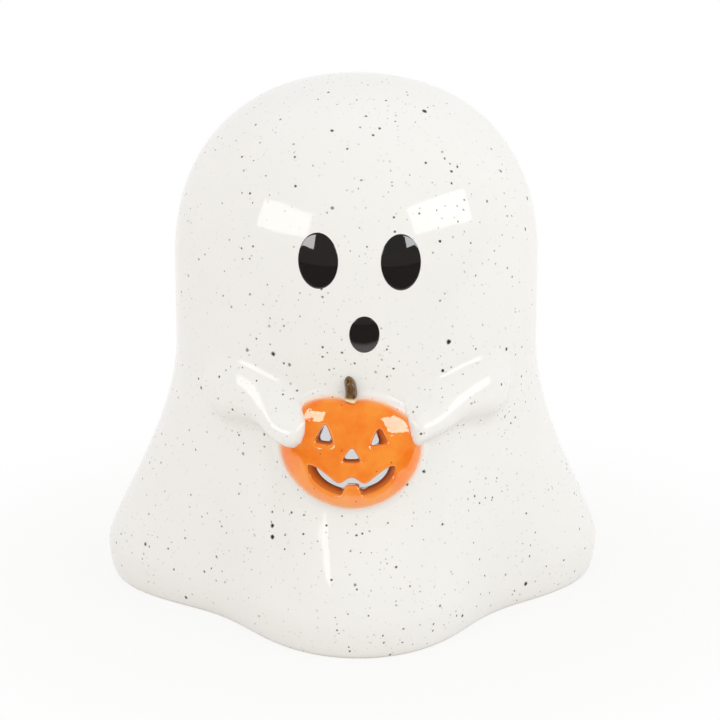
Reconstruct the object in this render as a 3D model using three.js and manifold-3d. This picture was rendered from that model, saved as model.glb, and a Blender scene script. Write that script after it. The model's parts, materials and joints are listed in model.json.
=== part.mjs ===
// Ceramic ghost with a pumpkin lantern, and the tealight that stands inside it.
// Millimetres, +Z up, the front faces -Y. The origin is the middle of the foot.
import * as THREE from 'three';
import { mergeVertices } from 'three/addons/utils/BufferGeometryUtils.js';
import Module from 'manifold-3d';

// Head and crown
const height = 144;
const crownHeight = 50.5;
const crownPower = 2.24; // how square the crown is: 2 is an ellipse
const headHalfWidth = 50;
const headHalfDepth = 47;

// Skirt: its folds stand out from the head's outline, most at the hem
const skirtTop = 72;
const skirtPower = 1.82;
const skirtEase = 1.35;
const skirtShift = -0.7; // the skirt stands a little to the figure's right
const hemHeight = 10;
const hemInset = 2.5;
const foldFloor = 1.8;
const frontFold = 15.5;
const frontFoldSpread = 50; // degrees from a fold's ridge to its end
const sideFold = 19.2;
const sideFoldAngle = 102; // degrees round from the front
const sideFoldSpread = 51;
const rearFold = 6;
const rearFoldAngle = 147;
const rearFoldSpread = 28;

// Wall, floor and doorway
const wall = 4.5;
const floorThickness = 5;
const floorFillet = 6;
const doorWidth = 50;
const doorHeight = 57;

// Seats: the gap between a piece and what carries it
const seatGap = 0.3;

// Pumpkin lantern
const pumpkinX = -3.1;
const pumpkinZ = 53.5;
const pumpkinHalfWidth = 18.6;
const pumpkinHalfHeight = 14.05;
const pumpkinRelief = 5.5;
const pumpkinPower = 2.5; // how full the dome is
const pumpkinWall = 4.5;
const pumpkinEdge = 0.5;
const crownDip = 0.8;
const crownDipSpread = 13; // degrees
const lobeRise = 1.2; // the fuller shoulder on the viewer's left
const lobeAngle = 122; // degrees from the viewer's right
const lobeSpread = 32;
const ribSpan = 34; // degrees of longitude from groove to groove
const ribDepth = 0.2;
const lipWidth = 2.5; // how far the lantern's lip covers the shell round the opening
const spigotWall = 1.6;

// Lantern face, measured from the pumpkin's middle
const lanternEyeSpacing = 14;
const lanternEyeRise = 2.5; // base of the eye above the pumpkin's middle
const lanternEyeWidth = 5.4;
const lanternEyeHeight = 5.5;
const lanternNoseRise = -1.75;
const lanternNoseWidth = 5;
const lanternNoseHeight = 4;
const smileHalfWidth = 11.4;
const smileDrop = 2.95; // corners below the pumpkin's middle
const upperLipSag = 5.6;
const upperLipRise = 3.1;
const upperLipRiseSpread = 4.2;
const lowerLipSag = 7.5;
const toothHeight = 2.9;
const toothHalfWidth = 2.2;
const toothSlope = 1;
const cutCorner = 0.32; // share of a side that each rounded corner of an eye or the nose takes
const cutTaper = 0.7; // size of an eye or nose cut at the back against the front
const cutDrop = 0.7; // how far such a cut falls on its way to the back
const smileTaper = 0.85;
const smileBackDrop = 0.2;
const smileBackRise = 1.3; // how far the lower lip climbs on its way to the back

// Stem
const stemWidth = 3.6;
const stemTipWidth = 2.8;
const stemLength = 6.6;
const stemRelief = 2.6;
const stemEdge = 0.2;
const stemBend = 0.9;
const stemLean = 1.3; // how far the tip leans to the viewer's left
const stemX = 0.1; // from the pumpkin's middle
const stemTipRound = 0.25; // share of the stem's path over which its tip is rounded
const stemThinning = 0.6; // how much of its relief the stem loses towards its tip

// Arms: each is a sleeve that runs from the elbow round to a hand on the pumpkin
const armsMiddle = -1; // degrees round from the front
const elbowAngle = 55;
const elbowRise = 8.4; // above the pumpkin's middle
const sleeveAngle = 41;
const sleeveRise = 16.6;
const wristAngle = 21.5;
const wristRise = 15.2;
const leftHandAngle = 17.8;
const rightHandAngle = 21;
const handRise = 0.9;
const sleeveHalfWidth = 8;
const handHalfWidth = 5.8;
const narrowingStart = 0.35; // shares of the arm's path between which it narrows from sleeve to hand
const narrowingEnd = 0.85;
const shoulderRound = 0.3; // shares of the arm's path over which its ends are rounded
const handRound = 0.24;
const armRelief = 5.5;
const armReliefStart = -0.05; // shares of the arm's path between which its relief grows
const armReliefEnd = 0.6;
const armEdge = 0.4;
const armClearing = 3; // how many times its relief the cut for an arm goes up through the pumpkin

// Black features of the ghost's face
const eyeSpacing = 21.4;
const eyeMiddle = -0.7;
const eyeZ = 103.2;
const eyeHalfWidth = 5.2;
const eyeHalfHeight = 7.2;
const mouthX = 0.5;
const mouthZ = 84.2;
const mouthHalfWidth = 3.9;
const mouthHalfHeight = 4.9;
const enamelDepth = 0.8;
const enamelEdge = 0.15;
const enamelDome = 0.3;

// Tealight
const cupRadius = 18.7;
const cupBaseRadius = 18.1;
const cupHeight = 15;
const cupWall = 0.4;
const rimRoll = 0.45;
const waxHeight = 12;
const wickRadius = 0.8;
const wickAboveWax = 5;
const tabRadius = 6;
const tabThickness = 0.4;
const tabCollarHeight = 2.5;
const tabCollarWall = 0.4;

// Mesh fineness: how many columns, rows and steps each curved form has
const skinColumns = 76;
const liningColumns = 48;
const crownRows = 12;
const skirtRows = 8;
const hemRows = 3;
const pumpkinColumns = 52;
const lipSteps = 20;
const latheSteps = 40;
const domeShares = [1, 0.985, 0.95, 0.89, 0.8, 0.65, 0.45, 0.22]; // of the way to the pumpkin's outline
const hollowShares = [0.25, 0.5];

const wasm = await Module();
wasm.setup();

const radians = THREE.MathUtils.degToRad;
const clamp = THREE.MathUtils.clamp;
const smoothstep = THREE.MathUtils.smoothstep;

// 1 at zero, falling along a cosine to 0 at one and beyond
function bump(t) {
  return Math.cos((Math.PI / 2) * Math.min(Math.abs(t), 1)) ** 2;
}

// One fold: its bump round the body, counted from its ridge
function fold(azimuth, ridge, spread) {
  const turn = THREE.MathUtils.euclideanModulo(azimuth - radians(ridge) + Math.PI, 2 * Math.PI) - Math.PI;
  return bump(turn / radians(spread));
}

// How far the folds stand out at an angle round the body, at full flare
function foldReach(azimuth) {
  const sides = fold(azimuth, sideFoldAngle, sideFoldSpread) + fold(azimuth, -sideFoldAngle, sideFoldSpread);
  const rears = fold(azimuth, rearFoldAngle, rearFoldSpread) + fold(azimuth, -rearFoldAngle, rearFoldSpread);
  return foldFloor + frontFold * fold(azimuth, 0, frontFoldSpread) + sideFold * sides + rearFold * rears;
}

// 0 above the skirt, rising to 1 at the hem
function flareAt(z) {
  const down = clamp((skirtTop - z) / (skirtTop - hemHeight), 0, 1);
  return 1 - (1 - down ** skirtPower) ** skirtEase;
}

// Radius of the body, or of its hollow when it is inset by the wall
function bodyRadius(azimuth, z, inset) {
  const up = clamp((z - height + crownHeight) / (crownHeight - inset), 0, 1);
  const taper = (1 - up ** crownPower) ** (1 / crownPower);
  const across = Math.sin(azimuth) / (headHalfWidth - inset);
  const along = Math.cos(azimuth) / (headHalfDepth - inset);
  return taper / Math.hypot(across, along) + flareAt(z) * foldReach(azimuth);
}

// How far a quarter round draws a foot in below its top
function footRound(z, bottom, rise, inset) {
  const down = clamp((bottom + rise - z) / rise, 0, 1);
  return inset * (1 - Math.sqrt(1 - down * down));
}

function skinRadius(azimuth, z) {
  return bodyRadius(azimuth, z, 0) - footRound(z, 0, hemHeight, hemInset);
}

function liningRadius(azimuth, z) {
  return bodyRadius(azimuth, z, wall) - footRound(z, floorThickness, floorFillet, floorFillet);
}

// A point at an angle round the body, with its lift off the skin
function onSkin(azimuth, z, lift, radiusAt = skinRadius) {
  const reach = radiusAt(azimuth, z) + lift;
  const x = reach * Math.sin(azimuth) + skirtShift * flareAt(z);
  return new THREE.Vector3(x, -reach * Math.cos(azimuth), z);
}

// Depth of the skin at a place on the front, found by halving
function frontY(x, z) {
  const acrossX = x - skirtShift * flareAt(z);
  let outside = -2 * (headHalfDepth + frontFold);
  let inside = 0;
  for (let step = 0; step < 40; step += 1) {
    const middle = (outside + inside) / 2;
    const within = Math.hypot(acrossX, middle) < skinRadius(Math.atan2(acrossX, -middle), z);
    if (within) inside = middle;
    else outside = middle;
  }
  return inside;
}

// A point on the front, with its lift off the skin towards the viewer
function onFront(x, z, lift) {
  return new THREE.Vector3(x, frontY(x, z) - lift, z);
}

// Closed skin over a stack of rings, each a loop of as many points, with a point at either end
function skinRings(first, rings, last) {
  const count = rings[0].length;
  const points = [first, ...rings.flat(), last];
  const end = points.length - 1;
  const faces = [];
  for (let j = 0; j < count; j += 1) {
    const next = (j + 1) % count;
    faces.push(0, 1 + next, 1 + j);
    for (let k = 0; k + 1 < rings.length; k += 1) {
      const low = 1 + k * count;
      const high = low + count;
      faces.push(low + j, low + next, high + next);
      faces.push(low + j, high + next, high + j);
    }
    faces.push(end, end - count + j, end - count + next);
  }
  const geometry = new THREE.BufferGeometry().setFromPoints(points);
  geometry.setIndex(faces);
  return geometry;
}

function middleOf(ring) {
  const sum = ring.reduce((total, point) => total.add(point), new THREE.Vector3());
  return sum.divideScalar(ring.length);
}

// Points of a loop: turn runs once round, counterclockwise seen from the tip of the stack
function loop(count, pointAt) {
  return Array.from({ length: count }, (unused, j) => pointAt((2 * Math.PI * j) / count));
}

function toSolid(geometry) {
  const bare = geometry.clone();
  bare.deleteAttribute('normal');
  bare.deleteAttribute('uv');
  const merged = mergeVertices(bare, 1e-5);
  return new wasm.Manifold(new wasm.Mesh({
    numProp: 3,
    vertProperties: new Float32Array(merged.attributes.position.array),
    triVerts: new Uint32Array(merged.index.array),
  }));
}

function toGeometry(solid) {
  const mesh = solid.getMesh();
  const geometry = new THREE.BufferGeometry();
  geometry.setAttribute('position', new THREE.BufferAttribute(new Float32Array(mesh.vertProperties), 3));
  geometry.setIndex(new THREE.BufferAttribute(new Uint32Array(mesh.triVerts), 1));
  geometry.computeVertexNormals();
  return geometry;
}

// Heights of the rings from the bottom of a body to just under its crown
function ringHeights(bottom, rise, footRows, rows, top) {
  const shoulder = height - crownHeight;
  const heights = [];
  for (let k = 0; k < footRows; k += 1) {
    heights.push(bottom + rise * (1 - Math.cos((Math.PI / 2) * (k / footRows))));
  }
  for (let k = 0; k < rows; k += 1) {
    heights.push(THREE.MathUtils.lerp(bottom + rise, skirtTop, k / rows));
  }
  heights.push(skirtTop);
  heights.push((skirtTop + shoulder) / 2);
  for (let k = 0; k < crownRows; k += 1) {
    heights.push(shoulder + (top - shoulder) * Math.sin((Math.PI / 2) * (k / crownRows)));
  }
  return heights;
}

function bodySolid(columns, bottom, top, heights, radiusAt) {
  const rings = heights.map((z) => loop(columns, (turn) => onSkin(turn, z, 0, radiusAt)));
  const foot = new THREE.Vector3(skirtShift, 0, bottom);
  return toSolid(skinRings(foot, rings, new THREE.Vector3(0, 0, top)));
}

// A shape drawn in x and z, run along y from one depth to another
function alongY(shape, fromY, toY) {
  const options = { depth: toY - fromY, bevelEnabled: false, curveSegments: 24 };
  const geometry = new THREE.ExtrudeGeometry(shape, options);
  geometry.rotateX(Math.PI / 2);
  geometry.translate(0, toY, 0);
  return toSolid(geometry);
}

function doorwaySolid() {
  const half = doorWidth / 2;
  const springing = floorThickness + doorHeight - half;
  const arch = new THREE.Shape();
  arch.moveTo(-half, floorThickness);
  arch.lineTo(half, floorThickness);
  arch.lineTo(half, springing);
  arch.absarc(0, springing, half, 0, Math.PI, false);
  return alongY(arch, headHalfDepth / 2, 2 * headHalfDepth + rearFold);
}

// Outline of the pumpkin from its middle: an ellipse with a dip under the stem and a fuller shoulder
// beside it
function pumpkinOutline(turn) {
  const edge = new THREE.Vector2(pumpkinHalfWidth * Math.cos(turn), pumpkinHalfHeight * Math.sin(turn));
  const dip = crownDip * bump((turn - Math.PI / 2) / radians(crownDipSpread));
  const lobe = lobeRise * bump((turn - radians(lobeAngle)) / radians(lobeSpread));
  return edge.multiplyScalar(1 + (lobe - dip) / edge.length());
}

// The same outline drawn in by a width
function insetOutline(turn, width) {
  const edge = pumpkinOutline(turn);
  return edge.multiplyScalar(1 - width / edge.length());
}

// Lift of the pumpkin's dome at a share of the way from its middle to its edge. Its grooves run like
// meridians from the stem to the foot, and fade out at the edge.
function domeLift(share, turn) {
  const full = (1 - share ** pumpkinPower) ** (1 / pumpkinPower);
  const latitude = Math.asin(share * Math.sin(turn));
  const longitude = Math.asin(clamp((share * Math.cos(turn)) / Math.cos(latitude), -1, 1));
  const rib = Math.abs(Math.cos((Math.PI * longitude) / radians(ribSpan)));
  return pumpkinEdge + (pumpkinRelief - pumpkinEdge - ribDepth * (1 - rib)) * full;
}

function pumpkinRing(share, lift) {
  return loop(pumpkinColumns, (turn) => {
    const edge = pumpkinOutline(turn).multiplyScalar(share);
    return onFront(pumpkinX + edge.x, pumpkinZ + edge.y, seatGap + lift(turn));
  });
}

function spigotRing(width, lift) {
  return loop(pumpkinColumns, (turn) => {
    const edge = insetOutline(turn, width);
    const share = edge.length() / pumpkinOutline(turn).length();
    return onFront(pumpkinX + edge.x, pumpkinZ + edge.y, lift(share, turn));
  });
}

// Dome with a lip that lies on the shell and a spigot that drops into the shell's opening
function pumpkinBlank() {
  const spigot = lipWidth + seatGap;
  const hollow = spigot + spigotWall;
  const underDome = (share, turn) => domeLift(share, turn) - pumpkinWall;
  const rings = [
    ...hollowShares.map((share) => pumpkinRing(share, (turn) => underDome(share, turn))),
    spigotRing(hollow, underDome),
    spigotRing(hollow, () => -wall),
    spigotRing(spigot, () => -wall),
    spigotRing(spigot, () => seatGap),
    pumpkinRing(1, () => 0),
    ...domeShares.map((share) => pumpkinRing(share, (turn) => domeLift(share, turn))),
  ];
  const back = onFront(pumpkinX, pumpkinZ, seatGap + pumpkinRelief - pumpkinWall);
  return toSolid(skinRings(back, rings, onFront(pumpkinX, pumpkinZ, seatGap + pumpkinRelief)));
}

// The pumpkin's outline, drawn in by a width, as a bar that runs through the front of the shell
function outlineBar(width) {
  const edge = loop(pumpkinColumns, (turn) => insetOutline(turn, width));
  const middle = new THREE.Vector2(pumpkinX, pumpkinZ);
  const shape = new THREE.Shape(edge.map((point) => point.add(middle)));
  return alongY(shape, -2 * headHalfDepth, -headHalfDepth / 2);
}

// A cut through the pumpkin from an outline at its front to another at its back. Both are given from one
// point, and that point from the pumpkin's middle.
function cutThrough(frontOutline, backOutline, x, rise) {
  const skin = frontY(pumpkinX + x, pumpkinZ + rise);
  const ringAt = (y, outline) => outline.map((point) => new THREE.Vector3(
    pumpkinX + x + point.x,
    y,
    pumpkinZ + rise + point.y,
  ));
  const near = ringAt(skin - 2 * pumpkinRelief, frontOutline);
  const wide = ringAt(skin - pumpkinRelief, frontOutline);
  const narrow = ringAt(skin - pumpkinRelief + pumpkinWall, backOutline);
  const far = ringAt(skin + 2 * wall, backOutline);
  return toSolid(skinRings(middleOf(far), [far, narrow, wide, near], middleOf(near)));
}

// A cut that is smaller and lower at the back
function taperedCut(outline, x, rise) {
  const back = outline.map((point) => new THREE.Vector2(point.x * cutTaper, point.y * cutTaper - cutDrop));
  return cutThrough(outline, back, x, rise);
}

// Triangle that stands on its base, with rounded corners
function triangleOutline(width, rise) {
  const tip = new THREE.Vector2(0, rise);
  const left = new THREE.Vector2(-width / 2, 0);
  const right = new THREE.Vector2(width / 2, 0);
  const path = new THREE.Path();
  const corners = [tip, left, right];
  corners.forEach((point, index) => {
    const before = corners[(index + 2) % 3].clone().lerp(point, 1 - cutCorner);
    const after = corners[(index + 1) % 3].clone().lerp(point, 1 - cutCorner);
    if (index === 0) path.moveTo(before.x, before.y);
    else path.lineTo(before.x, before.y);
    path.quadraticCurveTo(point.x, point.y, after.x, after.y);
  });
  return path.getPoints(4);
}

function upperLip(x) {
  return -upperLipSag * bump(x / smileHalfWidth) + upperLipRise * bump(x / upperLipRiseSpread);
}

// The lower lip hangs on half an ellipse. Raised is how much less it hangs, though its tooth stays in place.
function lowerLip(x, raised) {
  const arc = Math.sqrt(Math.max(0, 1 - (x / smileHalfWidth) ** 2));
  const tooth = 1 - smoothstep(Math.abs(x), toothHalfWidth - toothSlope / 2, toothHalfWidth + toothSlope / 2);
  return (raised - lowerLipSag) * arc + (toothHeight - raised) * tooth;
}

// Smile with two waves in its upper lip and one tooth in its lower lip
function smileOutline(raised) {
  const across = Array.from({ length: lipSteps }, (unused, k) => smileHalfWidth * (1 - (2 * k) / lipSteps));
  const upper = across.map((x) => new THREE.Vector2(x, upperLip(x)));
  const lower = across.map((x) => new THREE.Vector2(-x, lowerLip(-x, raised)));
  return [...upper, ...lower];
}

function smileCut() {
  const back = smileOutline(smileBackRise);
  for (const point of back) {
    point.x *= smileTaper;
    point.y -= smileBackDrop;
  }
  return cutThrough(smileOutline(0), back, 0, -smileDrop);
}

function lanternFace() {
  const eye = triangleOutline(lanternEyeWidth, lanternEyeHeight);
  const nose = triangleOutline(lanternNoseWidth, lanternNoseHeight);
  return [
    taperedCut(eye, -lanternEyeSpacing / 2, lanternEyeRise),
    taperedCut(eye, lanternEyeSpacing / 2, lanternEyeRise),
    taperedCut(nose, 0, lanternNoseRise),
    smileCut(),
  ];
}

// 1 until zero, then falling on a quarter circle, and still a little wide at one
function roundedEnd(t) {
  return Math.sqrt(1 - clamp(t, 0, 0.97) ** 2);
}

// A raised form along a path: D-shaped sections from its start to its rounded end, with their foot at one
// lift. The path is a curve in skin millimetres, and place turns a point of it and a lift into a point of the
// part. A form whose place mirrors the path is stacked the other way, so that its faces still point out.
function raisedForm({ path, rows, across, halfWidth, relief, foot, edge, place, mirrored = false }) {
  const sectionAt = (t) => {
    const point = path.getPoint(t);
    const side = path.getTangent(t);
    const half = halfWidth(t);
    const top = [];
    const bottom = [];
    for (let k = 0; k <= across; k += 1) {
      const s = (2 * k) / across - 1;
      const reach = half * Math.sin((Math.PI / 2) * s);
      const u = point.x + side.y * reach;
      const v = point.y - side.x * reach;
      top.push(place(u, v, foot + edge + relief(t) * Math.cos((Math.PI / 2) * s)));
      bottom.unshift(place(u, v, foot));
    }
    return [...top, ...bottom];
  };
  const shareAt = (k) => Math.sin((Math.PI / 2) * (k / rows));
  const rings = Array.from({ length: rows + 1 }, (unused, k) => sectionAt(shareAt(k)));
  if (mirrored) rings.reverse();
  return toSolid(skinRings(middleOf(rings[0]), rings, middleOf(rings[rows])));
}

// side is -1 for the viewer's left and 1 for the right; grow widens the form for cutting its neighbours
function armSolid(side, grow, reliefScale) {
  const place = (u, v, lift) => onSkin(radians(armsMiddle) + (side * u) / headHalfWidth, v, lift);
  const spot = (angle, rise) => new THREE.Vector2(radians(angle) * headHalfWidth, pumpkinZ + rise);
  const path = new THREE.CubicBezierCurve(
    spot(elbowAngle, elbowRise),
    spot(sleeveAngle, sleeveRise),
    spot(wristAngle, wristRise),
    spot(side < 0 ? leftHandAngle : rightHandAngle, handRise),
  );
  const handEnd = (t) => roundedEnd((t - 1 + handRound) / handRound);
  const halfWidth = (t) => {
    const narrowing = smoothstep(t, narrowingStart, narrowingEnd);
    const plain = THREE.MathUtils.lerp(sleeveHalfWidth, handHalfWidth, narrowing);
    return plain * handEnd(t) * roundedEnd((shoulderRound - t) / shoulderRound) + grow;
  };
  const relief = (t) => {
    const growth = smoothstep(t, armReliefStart, armReliefEnd);
    return armRelief * growth * Math.sqrt(handEnd(t)) * reliefScale;
  };
  return raisedForm({
    path,
    rows: 14,
    across: 8,
    halfWidth,
    relief,
    foot: seatGap - grow,
    edge: armEdge,
    place,
    mirrored: side < 0,
  });
}

// The stem starts inside the pumpkin's outline, and is then cut to it with the gap of its seat
function stemSolid() {
  const dip = pumpkinOutline(Math.PI / 2);
  const base = new THREE.Vector2(pumpkinX + stemX, pumpkinZ + dip.y - stemWidth / 2);
  const path = new THREE.QuadraticBezierCurve(
    base,
    new THREE.Vector2(base.x + stemBend, base.y + (stemLength + stemWidth / 2) / 2),
    new THREE.Vector2(base.x - stemLean, base.y + stemLength + stemWidth / 2),
  );
  const halfWidth = (t) => {
    const tip = roundedEnd((t - 1 + stemTipRound) / stemTipRound);
    return (THREE.MathUtils.lerp(stemWidth, stemTipWidth, t) / 2) * tip;
  };
  const blank = raisedForm({
    path,
    rows: 8,
    across: 6,
    halfWidth,
    relief: (t) => stemRelief * Math.sqrt(1 - stemThinning * t * t),
    foot: seatGap,
    edge: stemEdge,
    place: onFront,
  });
  return blank.subtract(outlineBar(-seatGap));
}

// An oval let into the front: rings from its back, round its edge and over its dome
function ovalSolid(x, z, halfWidth, halfHeight, { back, edge, dome, grow }) {
  const ring = (share, lift) => loop(28, (turn) => onFront(
    x + (halfWidth + grow) * share * Math.cos(turn),
    z + (halfHeight + grow) * share * Math.sin(turn),
    lift,
  ));
  const domeAt = (share) => edge + dome * (1 - share * share);
  const rings = [
    ring(0.5, back),
    ring(1, back),
    ...[1, 0.85, 0.5].map((share) => ring(share, domeAt(share))),
  ];
  return toSolid(skinRings(onFront(x, z, back), rings, onFront(x, z, domeAt(0))));
}

function blackFeatures() {
  return {
    left_eye: [eyeMiddle - eyeSpacing / 2, eyeZ, eyeHalfWidth, eyeHalfHeight],
    right_eye: [eyeMiddle + eyeSpacing / 2, eyeZ, eyeHalfWidth, eyeHalfHeight],
    mouth: [mouthX, mouthZ, mouthHalfWidth, mouthHalfHeight],
  };
}

function recessSolid(size) {
  return ovalSolid(...size, { back: -enamelDepth - seatGap, edge: wall, dome: 0, grow: seatGap });
}

function enamelSolid(size) {
  return ovalSolid(...size, { back: -enamelDepth, edge: enamelEdge, dome: enamelDome, grow: 0 });
}

function shellSolid() {
  const skinHeights = ringHeights(0, hemHeight, hemRows, skirtRows, height);
  const liningTop = height - wall;
  const liningHeights = ringHeights(floorThickness, floorFillet, hemRows, skirtRows, liningTop);
  let shell = bodySolid(skinColumns, 0, height, skinHeights, skinRadius);
  shell = shell.subtract(bodySolid(liningColumns, floorThickness, liningTop, liningHeights, liningRadius));
  shell = shell.subtract(doorwaySolid());
  shell = shell.subtract(outlineBar(lipWidth));
  for (const size of Object.values(blackFeatures())) {
    shell = shell.subtract(recessSolid(size));
  }
  return shell;
}

function pumpkinSolid() {
  let pumpkin = pumpkinBlank();
  const arms = [-1, 1].map((side) => armSolid(side, seatGap, armClearing));
  for (const cut of [...lanternFace(), ...arms]) {
    pumpkin = pumpkin.subtract(cut);
  }
  return pumpkin;
}

function latheSolid(profile) {
  const points = profile.map(([r, z]) => new THREE.Vector2(r, z));
  return new THREE.LatheGeometry(points, latheSteps).rotateX(Math.PI / 2);
}

function cupGeometry() {
  const inner = cupBaseRadius - cupWall;
  return latheSolid([
    [0, 0],
    [cupBaseRadius - cupWall, 0],
    [cupBaseRadius, cupWall],
    [cupRadius - cupWall, cupHeight - 2 * rimRoll],
    [cupRadius, cupHeight - 2 * rimRoll],
    [cupRadius + rimRoll / 2, cupHeight - rimRoll],
    [cupRadius, cupHeight],
    [cupRadius - cupWall, cupHeight],
    [cupRadius - 2 * cupWall, cupHeight - rimRoll],
    [inner, 2 * cupWall],
    [inner - cupWall, cupWall],
    [0, cupWall],
  ]);
}

function waxGeometry() {
  const bottom = cupWall + seatGap;
  const tabTop = cupWall + tabThickness + seatGap;
  const bore = wickRadius + tabCollarWall + 2 * seatGap;
  const slope = (cupRadius - cupBaseRadius) / cupHeight;
  const radiusAt = (z) => cupBaseRadius - 2 * cupWall - seatGap + slope * z;
  const collarTop = cupWall + tabCollarHeight + seatGap;
  return latheSolid([
    [tabRadius + seatGap, bottom],
    [radiusAt(bottom), bottom],
    [radiusAt(waxHeight), waxHeight],
    [wickRadius + seatGap, waxHeight],
    [wickRadius + seatGap, collarTop],
    [bore, collarTop],
    [bore, tabTop],
    [tabRadius + seatGap, tabTop],
    [tabRadius + seatGap, bottom],
  ]);
}

function tabGeometry() {
  const bore = wickRadius + seatGap / 2;
  const collar = bore + tabCollarWall;
  return latheSolid([
    [bore, cupWall],
    [tabRadius, cupWall],
    [tabRadius, cupWall + tabThickness],
    [collar, cupWall + tabThickness],
    [collar, cupWall + tabCollarHeight],
    [bore, cupWall + tabCollarHeight],
    [bore, cupWall],
  ]);
}

function wickGeometry() {
  const length = waxHeight + wickAboveWax - cupWall;
  const wick = new THREE.CylinderGeometry(0.8 * wickRadius, wickRadius, length, 12);
  return wick.rotateX(Math.PI / 2).translate(0, 0, cupWall + length / 2);
}

const glaze = { color: 0xf2f1ed, roughness: 0.12, metalness: 0 };
const finishes = {
  ghost_shell: glaze,
  left_arm: glaze,
  right_arm: glaze,
  pumpkin: { color: 0xf58a2c, roughness: 0.15, metalness: 0 },
  pumpkin_stem: { color: 0x6b4a2a, roughness: 0.2, metalness: 0 },
  left_eye: { color: 0x1c1a19, roughness: 0.08, metalness: 0 },
  right_eye: { color: 0x1c1a19, roughness: 0.08, metalness: 0 },
  mouth: { color: 0x1c1a19, roughness: 0.08, metalness: 0 },
  tealight_cup: { color: 0xc9cbcd, roughness: 0.3, metalness: 1 },
  tealight_wax: { color: 0xf4efe2, roughness: 0.5, metalness: 0 },
  tealight_wick: { color: 0xe9e4d6, roughness: 0.9, metalness: 0 },
  wick_tab: { color: 0xb8babc, roughness: 0.35, metalness: 1 },
};

const group = new THREE.Group();
const tealight = new THREE.Group();
tealight.position.z = floorThickness + seatGap;
group.add(tealight);

function addPiece(name, geometry, parent = group) {
  const mesh = new THREE.Mesh(geometry, new THREE.MeshStandardMaterial(finishes[name]));
  mesh.name = name;
  parent.add(mesh);
}

addPiece('ghost_shell', toGeometry(shellSolid()));
addPiece('left_arm', toGeometry(armSolid(-1, 0, 1)));
addPiece('right_arm', toGeometry(armSolid(1, 0, 1)));
addPiece('pumpkin', toGeometry(pumpkinSolid()));
addPiece('pumpkin_stem', toGeometry(stemSolid()));
for (const [name, size] of Object.entries(blackFeatures())) {
  addPiece(name, toGeometry(enamelSolid(size)));
}
addPiece('tealight_cup', cupGeometry(), tealight);
addPiece('tealight_wax', waxGeometry(), tealight);
addPiece('wick_tab', tabGeometry(), tealight);
addPiece('tealight_wick', wickGeometry(), tealight);

export default group;
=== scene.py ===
from functools import partial
import json
import bpy
import numpy as np
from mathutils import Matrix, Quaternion, Vector
from mathutils.geometry import delaunay_2d_cdt

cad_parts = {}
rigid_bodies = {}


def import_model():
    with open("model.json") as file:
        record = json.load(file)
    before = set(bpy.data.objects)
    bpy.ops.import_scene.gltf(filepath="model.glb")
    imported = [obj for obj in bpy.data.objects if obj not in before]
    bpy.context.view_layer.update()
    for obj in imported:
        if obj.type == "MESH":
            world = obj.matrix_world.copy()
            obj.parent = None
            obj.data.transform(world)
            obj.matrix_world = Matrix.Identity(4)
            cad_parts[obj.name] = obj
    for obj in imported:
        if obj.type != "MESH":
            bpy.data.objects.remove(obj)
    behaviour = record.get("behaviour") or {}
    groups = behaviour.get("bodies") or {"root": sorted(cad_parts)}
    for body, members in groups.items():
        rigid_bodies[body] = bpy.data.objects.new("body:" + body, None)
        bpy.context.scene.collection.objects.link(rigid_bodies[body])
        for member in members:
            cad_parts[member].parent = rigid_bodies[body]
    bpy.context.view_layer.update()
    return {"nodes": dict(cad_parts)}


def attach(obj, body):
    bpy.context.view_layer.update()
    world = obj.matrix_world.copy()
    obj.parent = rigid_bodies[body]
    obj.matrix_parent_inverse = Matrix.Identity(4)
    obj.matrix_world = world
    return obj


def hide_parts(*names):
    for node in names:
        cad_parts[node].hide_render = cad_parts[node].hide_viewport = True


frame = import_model()
scene = bpy.context.scene
scene.view_settings.view_transform = "Standard"
metres = 0.001  # every shape below is worked out in millimetres
print("frame loaded:", len(frame["nodes"]), "nodes")

# Camera, at the photograph's angle
viewpoint = dict(azimuth=-2.0, elevation=16.0, distance=730.0, lens=130.8, aimAcross=1.0, aimUp=63.9)
turn, rise = np.radians(viewpoint["azimuth"]), np.radians(viewpoint["elevation"])
towardsCamera = np.array([np.sin(turn) * np.cos(rise), -np.cos(turn) * np.cos(rise), np.sin(rise)])
aim = np.array([np.cos(turn), np.sin(turn), 0]) * viewpoint["aimAcross"] + [0, 0, viewpoint["aimUp"]]
camera = bpy.data.objects.new("studio_camera", bpy.data.cameras.new("studio_camera"))
camera.data.lens = viewpoint["lens"]
camera.data.sensor_width = 36
camera.data.clip_start = 0.05
camera.location = Vector(aim + towardsCamera * viewpoint["distance"]) * metres
camera.rotation_euler = Vector(towardsCamera).to_track_quat("Z", "Y").to_euler()
scene.collection.objects.link(camera)
scene.camera = camera


# Shapes that every piece shares

# 1 at zero, falling along a squared cosine to 0 at one and beyond
def bump(t):
    return np.cos(np.pi / 2 * np.minimum(np.abs(t), 1)) ** 2


# 0 below low, 1 above high, a cubic with level ends between them
def ease(t, low, high):
    share = np.clip((t - low) / (high - low), 0, 1)
    return share * share * (3 - 2 * share)


# 0 to 1 between zero and one along two parabolas that meet at the turn, where the slope is greatest
def archRise(t, turn):
    share = np.clip(t, 0, 1)
    return np.where(share < turn, share ** 2 / turn, 1 - (1 - share) ** 2 / (1 - turn))


# 1 below zero, then a quarter circle down to 0 at one
def roundOff(t):
    return np.sqrt(1 - np.clip(t, 0, 1) ** 2)


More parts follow.
